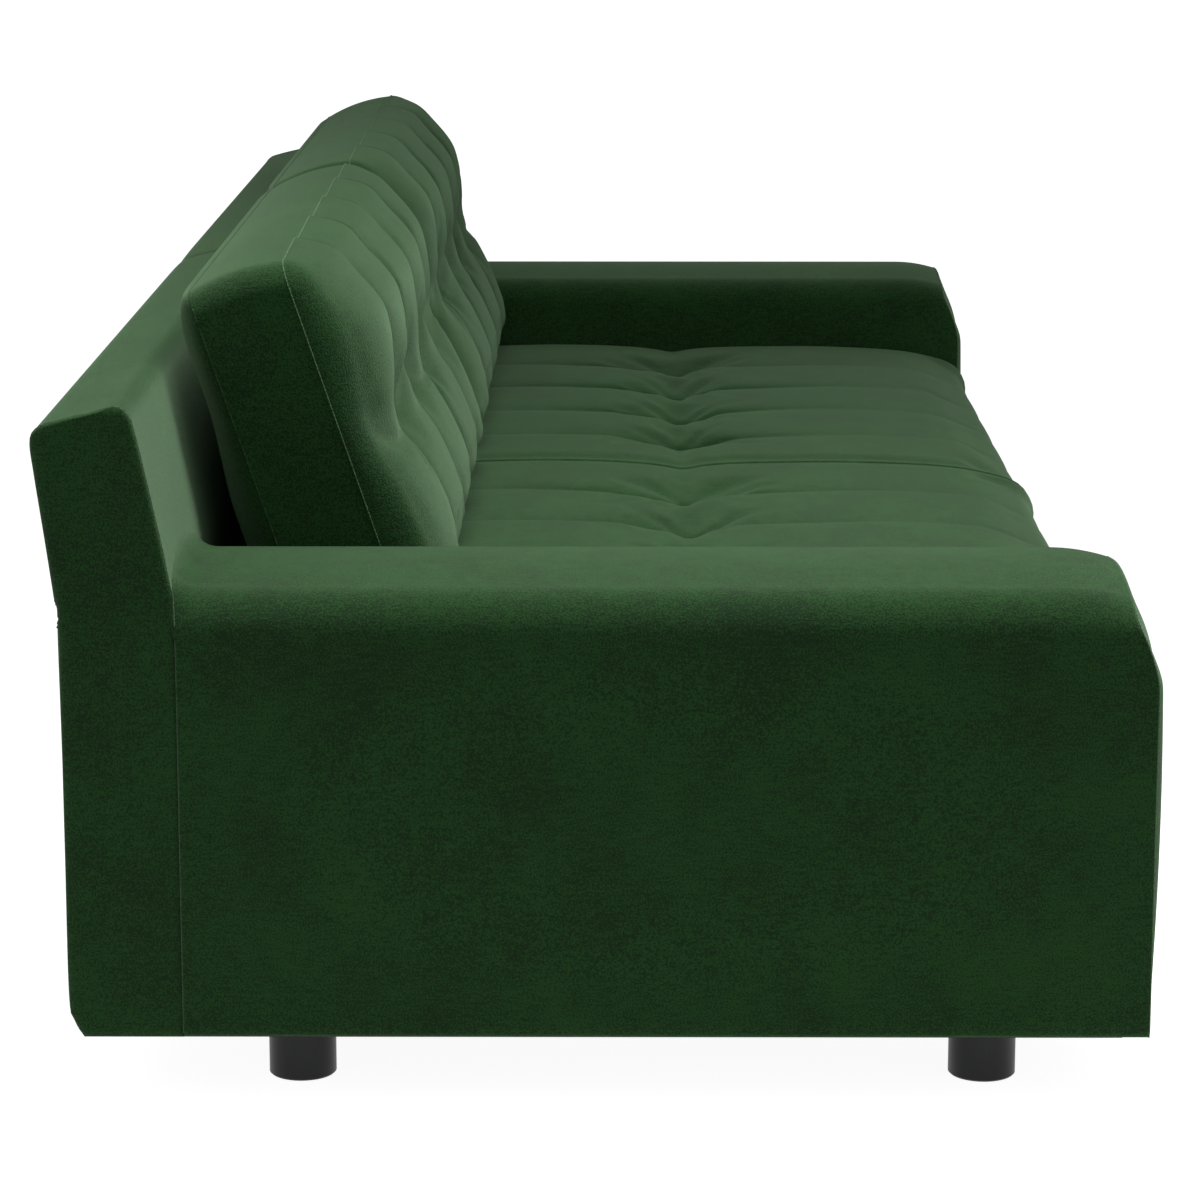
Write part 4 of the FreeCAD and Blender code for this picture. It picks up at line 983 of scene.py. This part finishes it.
tight_cover("outside_back_upholstery", [outside_grid()], (0, 1, 0), COVER_THICK, ["outside_back_panel"])
border = bulged_grid((-939.5, -478, 66), ((1879, 0, 0), (0, 0, 156)), (0, -1, 0), 9.0, 12, (160, 40),
                     end_roll=False)
tight_cover("front_border", [border], (0, -1, 0), COVER_THICK, ["front_border_cover", "front_border_foam"])
deck = bulged_grid((-937, -469, 216), ((1874, 0, 0), (0, 843, 0)), (0, 0, 1), 4.0, 20, (120, 60))
tight_cover("deck_lining", [deck], (0, 0, 1), COVER_THICK, ["deck_pad"], slot="felt")

# %% [markdown]
# ## Sewn seams
# Where two pieces of velvet are sewn together, the cloth turns in and leaves a fine ridge. Its pile
# stands on edge there and catches the light, and that highlight is painted into a paler copy of the
# velvet. Ridge and stitches follow a line, so Geometry Nodes make both: the line becomes a curve,
# the curve gets a round section, and short stitches are set along it at an even pitch. The tree has
# its sizes as named inputs.

# %% Seam tree
def make_seam_tree():
    tree = bpy.data.node_groups.new("sewn_seam", "GeometryNodeTree")
    tree.interface.new_socket("Geometry", in_out="INPUT", socket_type="NodeSocketGeometry")
    for title in ("Ridge radius", "Stitch pitch", "Stitch length", "Stitch radius"):
        tree.interface.new_socket(title, in_out="INPUT", socket_type="NodeSocketFloat")
    tree.interface.new_socket("Finish", in_out="INPUT", socket_type="NodeSocketMaterial")
    tree.interface.new_socket("Geometry", in_out="OUTPUT", socket_type="NodeSocketGeometry")
    given = add(tree, "NodeGroupInput", {}, {}).outputs
    curve = add(tree, "GeometryNodeMeshToCurve", {}, {"Mesh": given["Geometry"]}).outputs["Curve"]
    ring = add(tree, "GeometryNodeCurvePrimitiveCircle", {}, {
        "Resolution": 6, "Radius": given["Ridge radius"]})
    ridge = add(tree, "GeometryNodeCurveToMesh", {}, {
        "Curve": curve, "Profile Curve": ring.outputs["Curve"], "Fill Caps": True})
    places = add(tree, "GeometryNodeCurveToPoints", {"mode": "LENGTH"}, {
        "Curve": curve, "Length": given["Stitch pitch"]}).outputs
    along = add(tree, "FunctionNodeAlignRotationToVector", {"axis": "Z"}, {"Vector": places["Tangent"]})
    thread = add(tree, "GeometryNodeMeshCylinder", {}, {
        "Vertices": 5, "Radius": given["Stitch radius"], "Depth": given["Stitch length"]})
    stitches = add(tree, "GeometryNodeInstanceOnPoints", {}, {
        "Points": places["Points"], "Instance": thread.outputs["Mesh"],
        "Rotation": along.outputs["Rotation"]})
    both = add(tree, "GeometryNodeJoinGeometry", {}, {})
    tree.links.new(stitches.outputs["Instances"], both.inputs["Geometry"])
    tree.links.new(ridge.outputs["Mesh"], both.inputs["Geometry"])
    real = add(tree, "GeometryNodeRealizeInstances", {}, {"Geometry": both.outputs["Geometry"]})
    done = add(tree, "GeometryNodeSetMaterial", {}, {
        "Geometry": real.outputs["Geometry"], "Material": given["Finish"]})
    add(tree, "NodeGroupOutput", {}, {"Geometry": done.outputs["Geometry"]})
    return tree


seam_tree = make_seam_tree()
print("seam tree:", len(seam_tree.nodes), "nodes")

# %% [markdown]
# ## Seams along their lines
# The seams lie on the rims of the covers made above: round the arm fronts, round the end panels,
# down the middle of the back, along the outside back, and round the back cushions' boxing. Each
# line is cut into even steps and given to the tree. A bevelled curve would draw the ridge alone.
# The result is kept as a plain mesh, so that nothing depends on a live modifier.

# %% Seams along their lines
LINE_STEP = 5.0
STITCH_PITCH = 3.6
STITCH_SHARE, STITCH_PROUD = 0.75, 1.03
MIDDLE_POINTS, MIDDLE_INSET = 120, 3.5


def sew_seams(name, lines, body, ridge, finish):
    """One piece with the ridge and stitches along all the given lines."""
    mesh = bpy.data.meshes.new(name)
    points, edges = [], []
    for line in lines:
        count = max(int(run_along(line)[-1] / LINE_STEP), 2)
        even = resample(line, np.linspace(0, 1, count)) * MM
        edges += [(len(points) + i, len(points) + i + 1) for i in range(count - 1)]
        points += even.tolist()
    mesh.from_pydata(points, edges, [])
    piece = new_object(name, mesh)
    sewing = piece.modifiers.new("seam", "NODES")
    sewing.node_group = seam_tree
    sizes = {"Ridge radius": ridge * MM, "Stitch pitch": STITCH_PITCH * MM,
             "Stitch length": STITCH_SHARE * STITCH_PITCH * MM,
             "Stitch radius": STITCH_PROUD * ridge * MM, "Finish": finish}
    for socket in seam_tree.interface.items_tree:
        if socket.name in sizes:
            sewing[socket.identifier] = sizes[socket.name]
    apply_modifiers(piece)
    smooth(piece.data)
    dress(piece, body, "velvet")
    print(name, len(piece.data.polygons), "faces")


def end_seam(side):
    """Round an end panel, from its foot in front over the top to the rear seam."""
    outline = back_outlines[side]
    behind = (outline[:, 0] > 470) & (outline[:, 1] < 452) & (np.arange(len(outline)) > 200)
    upper = outline[:int(np.argmax(behind))]
    # the seam moves in over the top, where the cover rolls over
    rim = 1188.5 - 3.2 * np.maximum.accumulate(soft_step((upper[:, 1] - 440.0) / 60.0))
    return np.concatenate([side * rim[:, None], upper], axis=1)[2:]


frame_lines = []
for side in SIDES:
    frame_lines.append(arm_seams[side][3:-1])
    frame_lines.append(end_seam(side))
middle = smooth_path(BACK_PATH, MIDDLE_POINTS)
middle = middle - outward(middle) * MIDDLE_INSET
frame_lines.append(np.concatenate([np.zeros((MIDDLE_POINTS, 1)), middle], axis=1))
frame_lines.append(np.array([(-1186, 479.5, 448), (1186, 479.5, 448)], float))
# the frame's seams are drawn in the paler velvet, whose lighter colour is a painted highlight
sew_seams("frame_seams", frame_lines, "frame", 0.55, seam_velvet_painted_highlight)
# each back cushion's front seam takes the paler velvet with its painted highlight, and its rear seam the
# plain velvet
for body, lines in seam_lines.items():
    sew_seams(body + "_front_seam", lines[:1], body, 0.65, seam_velvet_painted_highlight)
    sew_seams(body + "_rear_seam", lines[1:], body, 0.6, velvet)

# %% [markdown]
# ## Finishes of what stays from the frame
# Feet, glides, dust cover and the hidden timber and steel keep the frame's own shape. They could
# be modelled again, but they are hard and already exact, so each only takes the finish of its slot.

# %% Finishes on the frame
slot_of = {part["node"]: part["material_slot"] for part in frame["record"]["subparts"]}
for name, solid in frame["nodes"].items():
    solid.data.materials.clear()
    solid.data.materials.append(slot_finish[slot_of[name]])
print("finishes set on", len(frame["nodes"]), "nodes")

# %% [markdown]
# ## Floor and light
# The sofa stands on white in a catalogue studio. Even light comes from all round, and one softbox
# hangs high above the near end. A strong lamp over the whole sofa would bleach its upright faces,
# because sheen is strongest where light and eye both graze the cloth. The floor is lit like the
# rest and keeps the shadow. For the camera, mirrors and glass alone it is lifted to white.

# %% Floor and light
FLOOR_HALF = 60
FLOOR_LIFT = 0.93
ROOM_LIGHT, BACKDROP = 0.25, 1.0


def backdrop_rays(tree):
    """1 for rays from the camera, a mirror or glass, so that all of them see the same white."""
    path = add(tree, "ShaderNodeLightPath", {}, {}).outputs
    seen = calculate(tree, "MAXIMUM", path["Is Camera Ray"], path["Is Glossy Ray"])
    return calculate(tree, "MAXIMUM", seen, path["Is Transmission Ray"])


def softbox(name, place, target, size, power, spread):
    """A rectangular lamp at a place, turned to a target."""
    lamp = bpy.data.lights.new(name, "AREA")
    lamp.shape, lamp.size, lamp.size_y, lamp.energy = "RECTANGLE", size[0], size[1], power
    lamp.spread = math.radians(spread)
    box = new_object(name, lamp)
    box.location = place
    box.rotation_euler = (Vector(target) - Vector(place)).to_track_quat("-Z", "Y").to_euler()


floor_mesh = bpy.data.meshes.new("floor")
floor_corners = [(x * FLOOR_HALF, y * FLOOR_HALF, 0) for x, y in ((-1, -1), (1, -1), (1, 1), (-1, 1))]
floor_mesh.from_pydata(floor_corners, [], [(0, 1, 2, 3)])
floor = new_object("floor", floor_mesh)
# a matt white that shows nothing but the sofa's shadow
paper, tree, shader, place = new_material("white_studio_floor")
lift = calculate(tree, "MULTIPLY", backdrop_rays(tree), FLOOR_LIFT)
fill(tree, shader, {
    "Base Color": linear("e6e6e6"), "Roughness": 0.9, "Specular IOR Level": 0.0,
    "Emission Color": (1, 1, 1, 1), "Emission Strength": lift})
floor_mesh.materials.append(paper)

world = bpy.data.worlds.new("studio")
bpy.context.scene.world = world
world.use_nodes = True
sky = world.node_tree
strength = add(sky, "ShaderNodeMapRange", {}, {
    "Value": backdrop_rays(sky), "To Min": ROOM_LIGHT, "To Max": BACKDROP})
fill(sky, sky.nodes["Background"], {"Color": (1, 1, 1, 1), "Strength": strength.outputs["Result"]})
softbox("softbox_near", (-0.9, -0.35, 3.0), (-0.9, -0.1, 0.4), (0.7, 2.0), 13.5, 80)
print("floor and light set, room light", ROOM_LIGHT)
